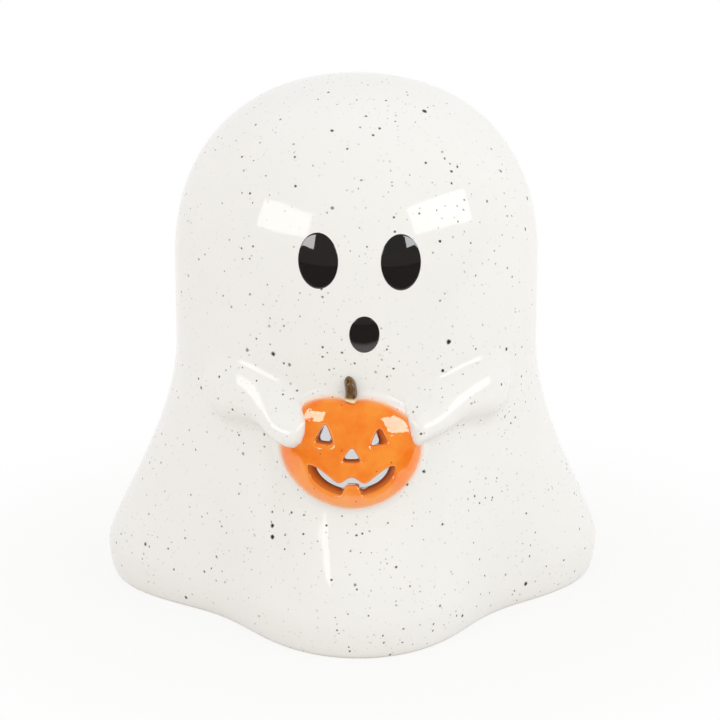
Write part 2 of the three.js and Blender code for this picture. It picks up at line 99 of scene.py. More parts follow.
# Mesh object from an array of points in mm and lists of face arrays, each with one row of indices a face
def meshObject(name, points, *faceArrays):
    mesh = bpy.data.meshes.new(name)
    counts = np.concatenate([np.full(len(f), f.shape[1]) for f in faceArrays])
    corners = np.concatenate([f.ravel() for f in faceArrays])
    mesh.vertices.add(len(points))
    mesh.vertices.foreach_set("co", (np.asarray(points, float) * metres).ravel())
    mesh.loops.add(len(corners))
    mesh.loops.foreach_set("vertex_index", corners.astype(np.int32))
    mesh.polygons.add(len(counts))
    mesh.polygons.foreach_set("loop_start", (np.cumsum(counts) - counts).astype(np.int32))
    mesh.update(calc_edges=True)
    mesh.validate()
    mesh.shade_smooth()
    made = bpy.data.objects.new(name, mesh)
    scene.collection.objects.link(made)
    return made


# Quads between neighbouring rings of a (rings, columns) grid of point numbers; each ring is a closed loop.
# They face out where the rings go round counterclockwise seen from the last ring.
def loopQuads(numbers):
    low, high = numbers[:-1], numbers[1:]
    quads = [low, np.roll(low, -1, 1), np.roll(high, -1, 1), high]
    return np.stack([q.ravel() for q in quads], 1)


# Closed skin of rings of points from one pole to the other, with fans of triangles at the poles
def poledSkin(name, first, rings, last):
    ringCount, columns = rings.shape[:2]
    points = np.vstack([first, rings.reshape(-1, 3), last])
    numbers = 1 + np.arange(ringCount * columns).reshape(ringCount, columns)
    start, end = numbers[0], numbers[-1]
    top = len(points) - 1
    fans = np.vstack([
        np.stack([np.zeros_like(start), np.roll(start, -1), start], 1),
        np.stack([np.full_like(end, top), end, np.roll(end, -1)], 1),
    ])
    return meshObject(name, points, loopQuads(numbers), fans)


# Angles of a whole turn in even steps
def wholeTurn(count):
    return np.linspace(0, 2 * np.pi, count, endpoint=False)


# Rings of a profile of radii and heights turned round the upright axis, with a wobble added to its radii
def latheRings(radii, heights, columns, wobble=None):
    angles = wholeTurn(columns)
    reach = radii[:, None] + (wobble(angles, radii, heights) if wobble else 0 * angles[None, :])
    return np.stack([reach * np.cos(angles), reach * np.sin(angles), heights[:, None] + 0 * reach], 2)


# Triangles over a flat region: loops bound it, the first from outside and the rest as holes, and loose points fill
# it. Gives the flat points, the triangles and each loop's point numbers.
def fillRegion(loops, loose):
    flat = np.vstack([*loops, loose])
    starts = np.cumsum([0, *[len(ring) for ring in loops]])
    rims = [np.arange(a, b) for a, b in zip(starts[:-1], starts[1:])]
    edges = np.vstack([np.stack([rim, np.roll(rim, -1)], 1) for rim in rims])
    made = delaunay_2d_cdt(flat.tolist(), edges.tolist(), [], 0, 1e-7, True)
    points, triangles = np.array(made[0]), np.array(made[2])
    # no two points coincide, so each triangulated point comes from one point given
    numberOf = np.zeros(len(flat), int)
    numberOf[np.concatenate(made[3])] = np.arange(len(points))
    middles = points[triangles].mean(1)
    keep = insideLoop(middles, loops[0])
    for hole in loops[1:]:
        keep &= ~insideLoop(middles, hole)
    return points, triangles[keep], [numberOf[rim] for rim in rims]


# True for the points that a closed loop winds round: the crossings to the right of each are counted
def insideLoop(points, ring):
    x, y = points[:, :1], points[:, 1:2]
    ax, ay = ring[:, 0], ring[:, 1]
    bx, by = np.roll(ax, -1), np.roll(ay, -1)
    spans = (ay <= y) != (by <= y)
    crossing = ax + (y - ay) * (bx - ax) / np.where(by == ay, 1, by - ay)
    return (np.sum(spans & (crossing > x), axis=1) % 2) == 1


# Distance from each point to a line of points, taken to its nearest segment
def lineDistance(points, line):
    along = np.diff(line, axis=0)
    away = points[:, None, :] - line[None, :-1]
    share = np.clip((away * along).sum(2) / np.maximum((along ** 2).sum(1), 1e-9), 0, 1)
    return np.sqrt(((away - share[..., None] * along) ** 2).sum(2).min(1))


# Distance from each point to a closed loop
def loopDistance(points, ring):
    return lineDistance(points, np.vstack([ring, ring[:1]]))


# Distance from each point to a line of points, without the ridges that the nearest segment gives: the line's steps
# over distance to the 7th power are added up, and straightSum is what they come to 1 away from a long straight line.
def smoothDistance(points, line, straightSum=1.0667):
    lengths = np.r_[0, np.cumsum(np.hypot(*np.diff(line, axis=0).T))]
    step = lengths[-1] / round(lengths[-1])
    places = np.arange(step / 2, lengths[-1], step)
    spread = np.stack([np.interp(places, lengths, column) for column in line.T], 1)
    away = np.linalg.norm(points[:, None, :] - spread[None], axis=2)
    return ((np.maximum(away, step / 2) ** -7).sum(1) * step / straightSum) ** (-1 / 6)


# A point attribute that a material reads
def setAttribute(thing, name, values):
    made = thing.data.attributes.new(name, "FLOAT", "POINT")
    made.data.foreach_set("value", values.astype(np.float32))


# A closed loop laid out again with equal steps of its first two columns; any other columns go with them
def evenLoop(ring, step):
    closed = np.vstack([ring, ring[:1]])
    lengths = np.r_[0, np.cumsum(np.hypot(*np.diff(closed[:, :2], axis=0).T))]
    count = max(12, int(round(lengths[-1] / step)))
    places = np.linspace(0, lengths[-1], count, endpoint=False)
    return np.stack([np.interp(places, lengths, column) for column in closed.T], 1)


# A closed loop with its corners softened: each pass takes every point part way to its neighbours' middle
def softLoop(ring, passes):
    for _ in range(passes):
        ring = 0.5 * ring + 0.25 * (np.roll(ring, 1, 0) + np.roll(ring, -1, 0))
    return ring


# Unit directions out of a counterclockwise loop
def outward(ring):
    along = np.roll(ring, -1, 0) - np.roll(ring, 1, 0)
    side = np.stack([along[:, 1], -along[:, 0]], 1)
    return side / np.linalg.norm(side, axis=1, keepdims=True)


# Ghost: the form of its body

ghostForm = dict(
    height=144, crownHeight=50.5, crownPower=2.24, headHalfWidth=50, headHalfDepth=47,
    skirtTop=72, skirtPower=1.82, skirtEase=1.35, skirtShift=-0.7, hemHeight=10, hemInset=2.5,
    foldFloor=1.8, frontFold=15.5, frontFoldSpread=50, sideFold=19.2, sideFoldAngle=102, sideFoldSpread=51,
    rearFold=6, rearFoldAngle=147, rearFoldSpread=28,
    wall=4.5, floorThickness=5, floorFillet=6, doorWidth=50, doorHeight=57, doorLip=1.8, innerLip=0.9,
    # cutters: the door's depths behind the middle, how far it cuts into the floor, and its outline's step
    doorTo=58, doorEnd=90, doorSlice=0.6, doorDip=0.02, doorStep=0.9, archPoints=81,
    bleedOut=(0.1, 1.3), bleedUp=(0.05, 0.8), bleedClear=(1.1, 1.7), bleedWithin=(-35, 30, 80),
    # mesh: columns and rows, and how close together the columns are: a least value, and what two ranges round the
    # front add to it, each with the angles where it ends and where it is full
    columns=330, rows=(9, 19, 82, 11, 46), closeness=0.42, closer=((0.75, 1.5, 1.15), (1.2, 0.75, 0.55)),
    hollowColumns=150, hollowRows=(8, 34, 8, 26),
)
g = ghostForm


# How far the folds stand out at an angle round the body: a floor and one squared-cosine bump for each fold
def foldReach(angle):
    def fold(ridge, spread):
        away = (angle - np.radians(ridge) + np.pi) % (2 * np.pi) - np.pi
        return bump(away / np.radians(spread))
    sides = fold(g["sideFoldAngle"], g["sideFoldSpread"]) + fold(-g["sideFoldAngle"], g["sideFoldSpread"])
    rears = fold(g["rearFoldAngle"], g["rearFoldSpread"]) + fold(-g["rearFoldAngle"], g["rearFoldSpread"])
    front = fold(0, g["frontFoldSpread"])
    return g["foldFloor"] + g["frontFold"] * front + g["sideFold"] * sides + g["rearFold"] * rears


# 0 above the skirt, rising to 1 at the hem
def flareAt(z):
    down = np.clip((g["skirtTop"] - z) / (g["skirtTop"] - g["hemHeight"]), 0, 1)
    return 1 - (1 - down ** g["skirtPower"]) ** g["skirtEase"]


# Radius of the body at an angle and height: an ellipse, drawn in over the crown by a superellipse, plus the folds
def bodyRadius(angle, z, inset):
    up = np.clip((z - g["height"] + g["crownHeight"]) / (g["crownHeight"] - inset), 0, 1)
    taper = (1 - up ** g["crownPower"]) ** (1 / g["crownPower"])
    across, along = np.sin(angle) / (g["headHalfWidth"] - inset), np.cos(angle) / (g["headHalfDepth"] - inset)
    return taper / np.hypot(across, along) + flareAt(z) * foldReach(angle)


# Glazed skin: the body, drawn in below the hem along a quarter ellipse
def skinRadius(angle, z):
    down = np.clip((g["hemHeight"] - z) / g["hemHeight"], 0, 1)
    return bodyRadius(angle, z, 0) - g["hemInset"] * (1 - np.sqrt(1 - down ** 2))


# Lining: the body less its wall, drawn in above the floor along a quarter circle
def liningRadius(angle, z):
    down = np.clip((g["floorThickness"] + g["floorFillet"] - z) / g["floorFillet"], 0, 1)
    return bodyRadius(angle, z, g["wall"]) - g["floorFillet"] * (1 - np.sqrt(1 - down ** 2))


# Points at angles round the body and heights, with their reach from the upright axis
def roundBody(angle, z, reach):
    return np.stack([reach * np.sin(angle) + g["skirtShift"] * flareAt(z), -reach * np.cos(angle), z + 0 * reach], -1)


# Depth of the skin at places on the front, found by halving between a depth in front of the body and its middle
def frontDepth(x, z, clear=-130.0, halvings=36):
    across = x - g["skirtShift"] * flareAt(z)
    outside, inside = np.full(np.shape(across), clear), np.zeros(np.shape(across))
    for _ in range(halvings):
        middle = (outside + inside) / 2
        within = np.hypot(across, middle) < skinRadius(np.arctan2(across, -middle), z)
        inside, outside = np.where(within, middle, inside), np.where(within, outside, middle)
    return inside


# Points on the front of the skin, lifted towards the viewer
def ontoFront(x, z, lift):
    return np.stack([x, frontDepth(x, z) - lift, z], -1)


# Pumpkin lantern: its outline and dome, which the white glaze round it also follows

pumpkinForm = dict(
    x=-3.1, z=53.5, halfWidth=18.6, halfHeight=14.05, relief=5.5, power=2.5, edge=0.5, wall=4.5,
    crownDip=0.8, crownDipSpread=13, lobe=1.2, lobeAngle=122, lobeSpread=32, ribSpan=34, ribDepth=0.2,
    sink=0.9, backLift=-0.9,
)
p = pumpkinForm


# Outline from the pumpkin's middle: an ellipse with a dip under the stem and a fuller lobe beside it
def pumpkinOutline(angle):
    ring = np.stack([p["halfWidth"] * np.cos(angle), p["halfHeight"] * np.sin(angle)], -1)
    reach = np.linalg.norm(ring, axis=-1, keepdims=True)
    turn = angle % (2 * np.pi)
    change = p["lobe"] * bump((turn - np.radians(p["lobeAngle"])) / np.radians(p["lobeSpread"]))
    change = change - p["crownDip"] * bump((turn - np.pi / 2) / np.radians(p["crownDipSpread"]))
    return ring * (1 + change[..., None] / reach)


# Share of the way from the middle to the outline, and the outline's angle there
def pumpkinShare(u, v):
    angle = np.arctan2(v / p["halfHeight"], u / p["halfWidth"])
    return np.hypot(u, v) / np.linalg.norm(pumpkinOutline(angle), axis=-1), angle


# Lift of the dome: a superellipse from the middle to the edge, with grooves that run like meridians
def domeLift(u, v):
    share, angle = pumpkinShare(u, v)
    share = np.minimum(share, 1)
    full = (1 - share ** p["power"]) ** (1 / p["power"])
    latitude = np.arcsin(share * np.sin(angle))
    longitude = np.arcsin(np.clip(share * np.cos(angle) / np.cos(latitude), -1, 1))
    rib = np.abs(np.cos(np.pi * longitude / np.radians(p["ribSpan"])))
    return p["edge"] + (p["relief"] - p["edge"] - p["ribDepth"] * (1 - rib)) * full


# Ghost: its arms, and the white ledge round the pumpkin

armForm = dict(
    middle=-1.0,  # degrees round from the front
    # outline of a sleeve and its hand, in mm round the skin and height: the soft edge over the elbow and sleeve, the
    # crisp one down the hand and round its tip, which is further in on the viewer's left, and the crease under it
    softEdge=((49, 58), (52.5, 65), (50.5, 72.5), (44, 77), (36, 77.3), (29, 75.4), (22, 72.6), (14.2, 67.8)),
    leftHand=((12.6, 66), (12.4, 62), (12.5, 58.5), (13.5, 55.2), (16, 53.3), (20.5, 52.9)),
    rightHand=((12.9, 66), (12.1, 61), (12, 57.5), (12.8, 54.8), (14.9, 53.1), (17.6, 52.8)),
    crease=((24, 54.6), (28, 55.7), (34, 55.3), (41, 54.4), (46.5, 55)),
    softRound=11.5, softTurn=0.32, handRound=4.2, handPower=0.75,
    leftRound=(4, 8.5), rightRound=(6, 9.5), creaseOut=(21, 32), creaseTurn=0.42,
    relief=3.9, fade=(50, 34), fadeShare=0.25,
    # what a hand adds, and the places across and up between which it grows
    leftGrowth=(3.0, (33, 19), (71, 57)), rightGrowth=(1.4, (49, 37), (77, 70)),
    ledgeHeight=1.25, ledgeWidth=2.3, ledgeUnder=(0.86, 0.97),
    within=(1.4, 30, 90),  # angle and heights that the relief keeps within
    rowsFrom=36, rowsTo=78,  # heights between which the rows are close together
)


# Relief of one arm at places given in mm round the skin and height: a sleeve's relief, more on the hand and less
# towards the elbow, times an arch's rise over the way in from the soft edge and from the crease, times a parabola
# raised to a power over the way in from the hand's edge.
def oneArm(place, hand, growth, creaseRound):
    a = armForm
    soft = np.array([a["crease"][-1], *a["softEdge"]], float)
    crisp = np.array([a["softEdge"][-1], *hand], float)
    crease = np.array([hand[-1], *a["crease"]], float)
    inside = insideLoop(place, evenLoop(np.vstack([soft, crisp[1:], crease[1:-1]]), 1.0))
    fromSoft = smoothDistance(place, soft) / a["softRound"]
    fromHand = lineDistance(place, crisp) / a["handRound"]
    u, z = place.T
    tight, wide = creaseRound
    fromCrease = smoothDistance(place, crease) / (tight + (wide - tight) * ease(u, *a["creaseOut"]))
    over = archRise(fromSoft, a["softTurn"]) * archRise(fromCrease, a["creaseTurn"])
    rise = (1 - (1 - np.clip(fromHand, 0, 1)) ** 2) ** a["handPower"]
    faded = 1 - a["fadeShare"] * ease(u, a["fade"][1], a["fade"][0])
    added, across, down = growth
    onHand = (1 - ease(u, across[1], across[0])) * (1 - ease(z, down[1], down[0]))
    return np.where(inside, (a["relief"] * faded + added * onHand) * over * rise, 0)


# Relief of both arms; the left one is the viewer's left, drawn as the mirror image of a right one
def armLift(angle, z):
    around = (angle - np.radians(armForm["middle"])) * g["headHalfWidth"]
    arms = [
        oneArm(np.stack([side * around, z], -1), *(armForm[arm + part] for part in ("Hand", "Growth", "Round")))
        for side, arm in ((-1, "left"), (1, "right"))
    ]
    return sum(arms)


# Ledge of glaze round the pumpkin: it climbs along a cubic with level ends and falls away under the dome
def ledgeLift(x, z):
    share, _ = pumpkinShare(x - p["x"], z - p["z"])
    out = (share - 1) * np.hypot(x - p["x"], z - p["z"])
    climb = ease(1 - out / armForm["ledgeWidth"], 0, 1)
    return armForm["ledgeHeight"] * np.where(share > 1, climb, ease(share, *armForm["ledgeUnder"]))


# Angles round the body, close together on the front where the arms and the lantern are
def skinAngles(count):
    fine = np.linspace(-np.pi, np.pi, 2001)
    density = np.full(len(fine), g["closeness"])
    for more, end, full in g["closer"]:
        density = density + more * ease(-np.abs(fine), -end, -full)
    total = np.r_[0, np.cumsum((density[1:] + density[:-1]) / 2)]
    return np.interp(np.linspace(0, total[-1], count, endpoint=False), total, fine)


# Heights of the rows: round the foot, evenly over each span, and closer together towards the top
def skinHeights(bottom, rise, footRows, spans, top, crownRows):
    foot = bottom + rise * (1 - np.cos(np.linspace(0, np.pi / 2, footRows, endpoint=False)))
    middle = [np.linspace(low, high, count, endpoint=False) for low, high, count in spans]
    shoulder = g["height"] - g["crownHeight"]
    crown = shoulder + (top - shoulder) * np.sin(np.linspace(0, np.pi / 2, crownRows, endpoint=False))
    return np.concatenate([foot, *middle, crown])


# Body without its hollow: the skin, lifted by the arms or the ledge, whichever stands higher
def ghostBlank():
    footRows, lowRows, armRows, highRows, crownRows = g["rows"]
    low, high = armForm["rowsFrom"], armForm["rowsTo"]
    spans = [(g["hemHeight"], low, lowRows), (low, high, armRows), (high, g["height"] - g["crownHeight"], highRows)]
    heights = skinHeights(0, g["hemHeight"], footRows, spans, g["height"], crownRows)
    a, z = np.meshgrid(skinAngles(g["columns"]), heights)
    reach = skinRadius(a, z)
    plain = roundBody(a, z, reach)
    widest, lowest, highest = armForm["within"]
    front = (np.abs(a) < widest) & (z > lowest) & (z < highest)
    lift = np.zeros_like(reach)
    arms, ledge = armLift(a[front], z[front]), ledgeLift(plain[front][:, 0], z[front])
    lift[front] = np.maximum(arms, ledge)
    rings = roundBody(a, z, reach + lift)
    return poledSkin("ghost_body_glazed", [g["skirtShift"], 0, 0], rings, [0, 0, g["height"]])


# Hollow of the figure, as a solid to take out of the body
def hollowBlank():
    angles = np.linspace(-np.pi, np.pi, g["hollowColumns"], endpoint=False)
    shoulder, low = g["height"] - g["crownHeight"], g["floorThickness"] + g["floorFillet"]
    footRows, lowRows, highRows, crownRows = g["hollowRows"]
    spans = [(low, g["skirtTop"], lowRows), (g["skirtTop"], shoulder, highRows)]
    top = g["height"] - g["wall"]
    a, z = np.meshgrid(angles, skinHeights(g["floorThickness"], g["floorFillet"], footRows, spans, top, crownRows))
    rings = roundBody(a, z, liningRadius(a, z))
    return poledSkin("hollow_cutter", [g["skirtShift"], 0, g["floorThickness"]], rings, [0, 0, top])


# A closed outline in x and z, run along y through a set of depths
def barBlank(name, outline, depths):
    rings = np.stack([np.stack([outline[:, 0], np.full(len(outline), y), outline[:, 1]], 1) for y in depths])
    middle = outline.mean(0)
    return poledSkin(name, [middle[0], depths[0], middle[1]], rings, [middle[0], depths[-1], middle[1]])


# Doorway outline, counterclockwise seen from the back: a sill, straight sides and a half-round arch
def doorwayOutline():
    half = g["doorWidth"] / 2
    sill, springing = g["floorThickness"] - g["doorDip"], g["floorThickness"] + g["doorHeight"] - half
    arch = np.linspace(0, np.pi, g["archPoints"])
    ring = np.vstack([
        np.stack([half * np.cos(arch), springing + half * np.sin(arch)], 1),
        [[-half, sill], [half, sill]],
    ])
    return evenLoop(ring, g["doorStep"])[::-1]


windowForm = dict(
    above=10.5, below=11, halfWidth=14.2, narrower=3.4, narrows=(-1.5, 2.5), depths=(-90, -24), points=120,
)


# Way through the body behind the lantern: narrow between the hands, wider behind the smile
def windowOutline():
    w = windowForm
    angle = wholeTurn(w["points"])
    v = np.where(np.sin(angle) > 0, w["above"], w["below"]) * np.sin(angle)
    halfWidth = w["halfWidth"] - w["narrower"] * ease(v, *w["narrows"])
    return np.stack([p["x"] + halfWidth * np.cos(angle), p["z"] + v], 1)


# Takes the cutters' solids out of the target's
def carve(target, cutters):
    for cutter in cutters:
        cut = target.modifiers.new("cut", "BOOLEAN")
        cut.object, cut.operation, cut.solver = cutter, "DIFFERENCE", "MANIFOLD"
    bpy.context.view_layer.update()
    done = bpy.data.meshes.new_from_object(target.evaluated_get(bpy.context.evaluated_depsgraph_get()))
    target.modifiers.clear()
    old, target.data = target.data, done
    done.name = target.name
    bpy.data.meshes.remove(old)
    for cutter in cutters:
        bpy.data.objects.remove(cutter)


# An object's points in mm, and how they are put back
def meshPoints(thing):
    flat = np.empty(len(thing.data.vertices) * 3, np.float32)
    thing.data.vertices.foreach_get("co", flat)
    return flat.reshape(-1, 3).astype(float) / metres


def setPoints(thing, points):
    thing.data.vertices.foreach_set("co", (points * metres).ravel())
    thing.data.update()


# Distance in x and z from the doorway's outline, below zero inside it, and the direction that it grows in
def doorwayDistance(points):
    half = g["doorWidth"] / 2
    springing = g["floorThickness"] + g["doorHeight"] - half
    x, z = points[:, 0], points[:, 2]
    beside, under = np.abs(x) - half, g["floorThickness"] - z
    corner = np.stack([np.maximum(beside, 0), np.maximum(under, 0)], 1)
    outside = np.linalg.norm(corner, axis=1)
    lowSide = np.where(outside > 0, outside, np.maximum(beside, under))
    nearSide = beside > under
    lowWay = np.where(
        (outside > 0)[:, None],
        corner / np.maximum(outside, 1e-9)[:, None],
        np.stack([nearSide * 1.0, ~nearSide * 1.0], 1),
    ) * np.stack([np.sign(x), -np.ones_like(x)], 1)
    spoke = np.stack([x, z - springing], 1)
    length = np.linalg.norm(spoke, axis=1)
    high = z > springing
    distance = np.where(high, length - half, lowSide)
    return distance, np.where(high[:, None], spoke / np.maximum(length, 1e-9)[:, None], lowWay)


# Rolls the sharp rim of the doorway over a quarter circle. A point on the face keeps its share of the way to the
# rim as an angle on the circle, and so does a point on the doorway's wall, so that both meet halfway round. Points
# that are near either count as on it.
def rollRim(points, surfaceRadius, inwards, radius, near=0.03, rearFrom=15):
    moved = points.copy()
    z = points[:, 2]
    x = points[:, 0] - g["skirtShift"] * flareAt(z)
    angle = np.arctan2(x, -points[:, 1])
    reach = np.hypot(x, points[:, 1])
    depth = inwards * (surfaceRadius(angle, z) - reach)
    distance, way = doorwayDistance(points)
    rear = points[:, 1] > rearFrom
    face = rear & (np.abs(depth) < near) & (distance > -near) & (distance < radius)
    inDoor = rear & ~face & (np.abs(distance) < near) & (depth < radius) & (depth > -near)
    circle = np.where(face, np.pi / 4 * (1 + distance / radius), np.pi / 4 * (1 - depth / radius))
    out = radius * (1 - np.cos(circle)) - np.where(face, distance, 0)
    down = radius * (1 - np.sin(circle)) - np.where(face, 0, depth)
    change = face | inDoor
    moved[:, 0] += np.where(change, out * way[:, 0] - inwards * down * np.sin(angle), 0)
    moved[:, 2] += np.where(change, out * way[:, 1], 0)
    moved[:, 1] += np.where(change, inwards * down * np.cos(angle), 0)
    return moved


# Orange that bled into the white glaze: 1 at the pumpkin's outline and where the hands come up out of its dome,
# falling along a cubic to 0 with the distance from either, and 0 on a hand that stands over the outline
def orangeBleed(points):
    x, y, z = points.T
    front, lowest, highest = g["bleedWithin"]
    near = (y < front) & (z > lowest) & (z < highest)
    x, y, z = x[near], y[near], z[near]
    share, _ = pumpkinShare(x - p["x"], z - p["z"])
    away = (share - 1) * np.hypot(x - p["x"], z - p["z"])
    lift = frontDepth(x, z) - y
    above = lift - domeLift(x - p["x"], z - p["z"])
    beside = (1 - ease(away, *g["bleedOut"])) * (1 - ease(lift, *g["bleedClear"]))
    bled = np.zeros(len(points))
    bled[near] = np.where(share > 1, beside, 1 - ease(above, *g["bleedUp"]))
    return bled


ghostBody = ghostBlank()
doorDepths = np.r_[np.arange(g["headHalfDepth"] / 2, g["doorTo"], g["doorSlice"]), g["doorEnd"]]
carve(ghostBody, [
    hollowBlank(),
    barBlank("doorway_cutter", doorwayOutline(), doorDepths),
    barBlank("lantern_cutter", windowOutline()[::-1], np.array(windowForm["depths"])),
])
bodyPoints = rollRim(meshPoints(ghostBody), skinRadius, 1, g["doorLip"])
bodyPoints = rollRim(bodyPoints, liningRadius, -1, g["innerLip"])
setPoints(ghostBody, bodyPoints)
ghostBody.data.shade_smooth()
setAttribute(ghostBody, "bleed", orangeBleed(bodyPoints))
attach(ghostBody, "figure")
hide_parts("ghost_shell", "left_arm", "right_arm")
print("ghost body:", len(ghostBody.data.polygons), "faces")


# Pumpkin lantern: its cut face

faceForm = dict(
    # corners at the front, then how the cut goes on to the back: towards a point, by shares across and up, and down
    eyes=(
        dict(tip=(-6.8, 8.3), left=(-9.7, 2.75), right=(-4.5, 2.55), aim=(-5.95, 5.15), shares=(0.62, 0.8),
             drop=0.6),
        dict(tip=(7.3, 7.15), left=(4.8, 2.25), right=(9.7, 2.75), aim=(5.2, 4.25), shares=(0.53, 0.76),
             drop=0.95),
    ),
    nose=dict(tip=(0.1, 2.4), left=(-2.7, -1.7), right=(2.6, -1.7), aim=(1.2, 0.15), shares=(0.82, 0.7), drop=0.62),
    cornerShare=0.24, lips=(1.2, 1.2, 0.9, 0.65), lowerLip=1.4, besideTooth=(3.2, 5.2), downwards=(0.2, 0.65),
    smileHalfWidth=11.4, smileDrop=2.95, upperSag=5.6, upperRise=3.1, upperRiseSpread=4.2, lowerSag=7.5,
    toothHeight=2.9, toothHalfWidth=2.2, toothSlope=1.2,
    # at the back the smile is narrower and stands aside a little, and its lower lip is higher but for the tooth
    backHalfWidth=9.7, backAside=0.4, backDrop=0.35, backLowerRise=1.0,
    # mesh: grid over the face, its half sizes and its least distances from a rim at the front and back; the step
    # along a cut, rings round a lip, and shares of the way down a cut's wall
    grid=0.5, gridHalf=(19, 16), margins=(0.22, 0.12), rimStep=0.3, lipRings=11, wallShares=(0.12, 0.3, 0.55, 0.8),
    # points round the pumpkin, the share of the way out where its face ends, rings from there to its edge, the size
    # of its back, and the share of its sink where the side turns in to the back
    rimPoints=220, faceShare=0.9, edgeRings=12, backShare=0.985, sideSink=0.5,
    # points round a corner and along a lip of the smile, and how often their loops are softened
    cornerPoints=7, lipPoints=120, cornerPasses=3, lipPasses=5,
)


# Triangle with rounded corners, counterclockwise: each corner is a parabola between points on its two sides.
# Each row is a point at the front and the one that the cut's wall runs to at the back.
def triangleCut(tip, left, right, aim, shares, drop):
    corners = np.array([tip, left, right], float)
    share, t = faceForm["cornerShare"], np.linspace(0, 1, faceForm["cornerPoints"])[:, None]
    before = corners + share * (np.roll(corners, 1, 0) - corners)
    after = corners + share * (np.roll(corners, -1, 0) - corners)
    arcs = [(1 - t) ** 2 * b + 2 * t * (1 - t) * c + t * t * a for b, c, a in zip(before, corners, after)]
    ring = softLoop(evenLoop(np.vstack(arcs), faceForm["rimStep"]), faceForm["cornerPasses"])
    return np.hstack([ring, aim + (ring - aim) * shares - [0, drop]])


# Smile: an upper lip with two waves, and a lower lip on half an ellipse with one tooth
def smileLips(share, halfWidth, sag, rise):
    f = faceForm
    x = f["smileHalfWidth"] * share
    upper = -f["upperSag"] * bump(share) + f["upperRise"] * bump(x / f["upperRiseSpread"])
    slope = f["toothSlope"] / 2
    tooth = 1 - ease(np.abs(x), f["toothHalfWidth"] - slope, f["toothHalfWidth"] + slope)
    lower = -sag * np.sqrt(np.clip(1 - share ** 2, 0, 1)) + rise * tooth
    across = halfWidth * share
    return np.vstack([np.stack([across, upper], 1)[1:-1], np.stack([across, lower], 1)[::-1]])


# Smile's cut: each row is a point at the front and the one that the cut's wall runs to at the back
def smileCut():
    f = faceForm
    share = np.cos(np.linspace(0, np.pi, f["lipPoints"]))
    front = smileLips(share, f["smileHalfWidth"], f["lowerSag"], f["toothHeight"])
    raised = f["backLowerRise"]
    back = smileLips(share, f["backHalfWidth"], f["lowerSag"] - raised, f["toothHeight"] - raised)
    ring = np.hstack([front, back + [f["backAside"], -f["backDrop"]]]) - np.tile([0, f["smileDrop"]], 2)
    return softLoop(evenLoop(ring, f["rimStep"]), f["lipPasses"])


# Radius of a cut's rounded front edge at each of its points: the smile's lower lip is rounder beside the tooth
def lipRadius(ring, lip, lower):
    beside = ease(np.abs(ring[:, 0]), *faceForm["besideTooth"]) * ease(-outward(ring)[:, 1], *faceForm["downwards"])
    return lip + (lower - lip) * beside


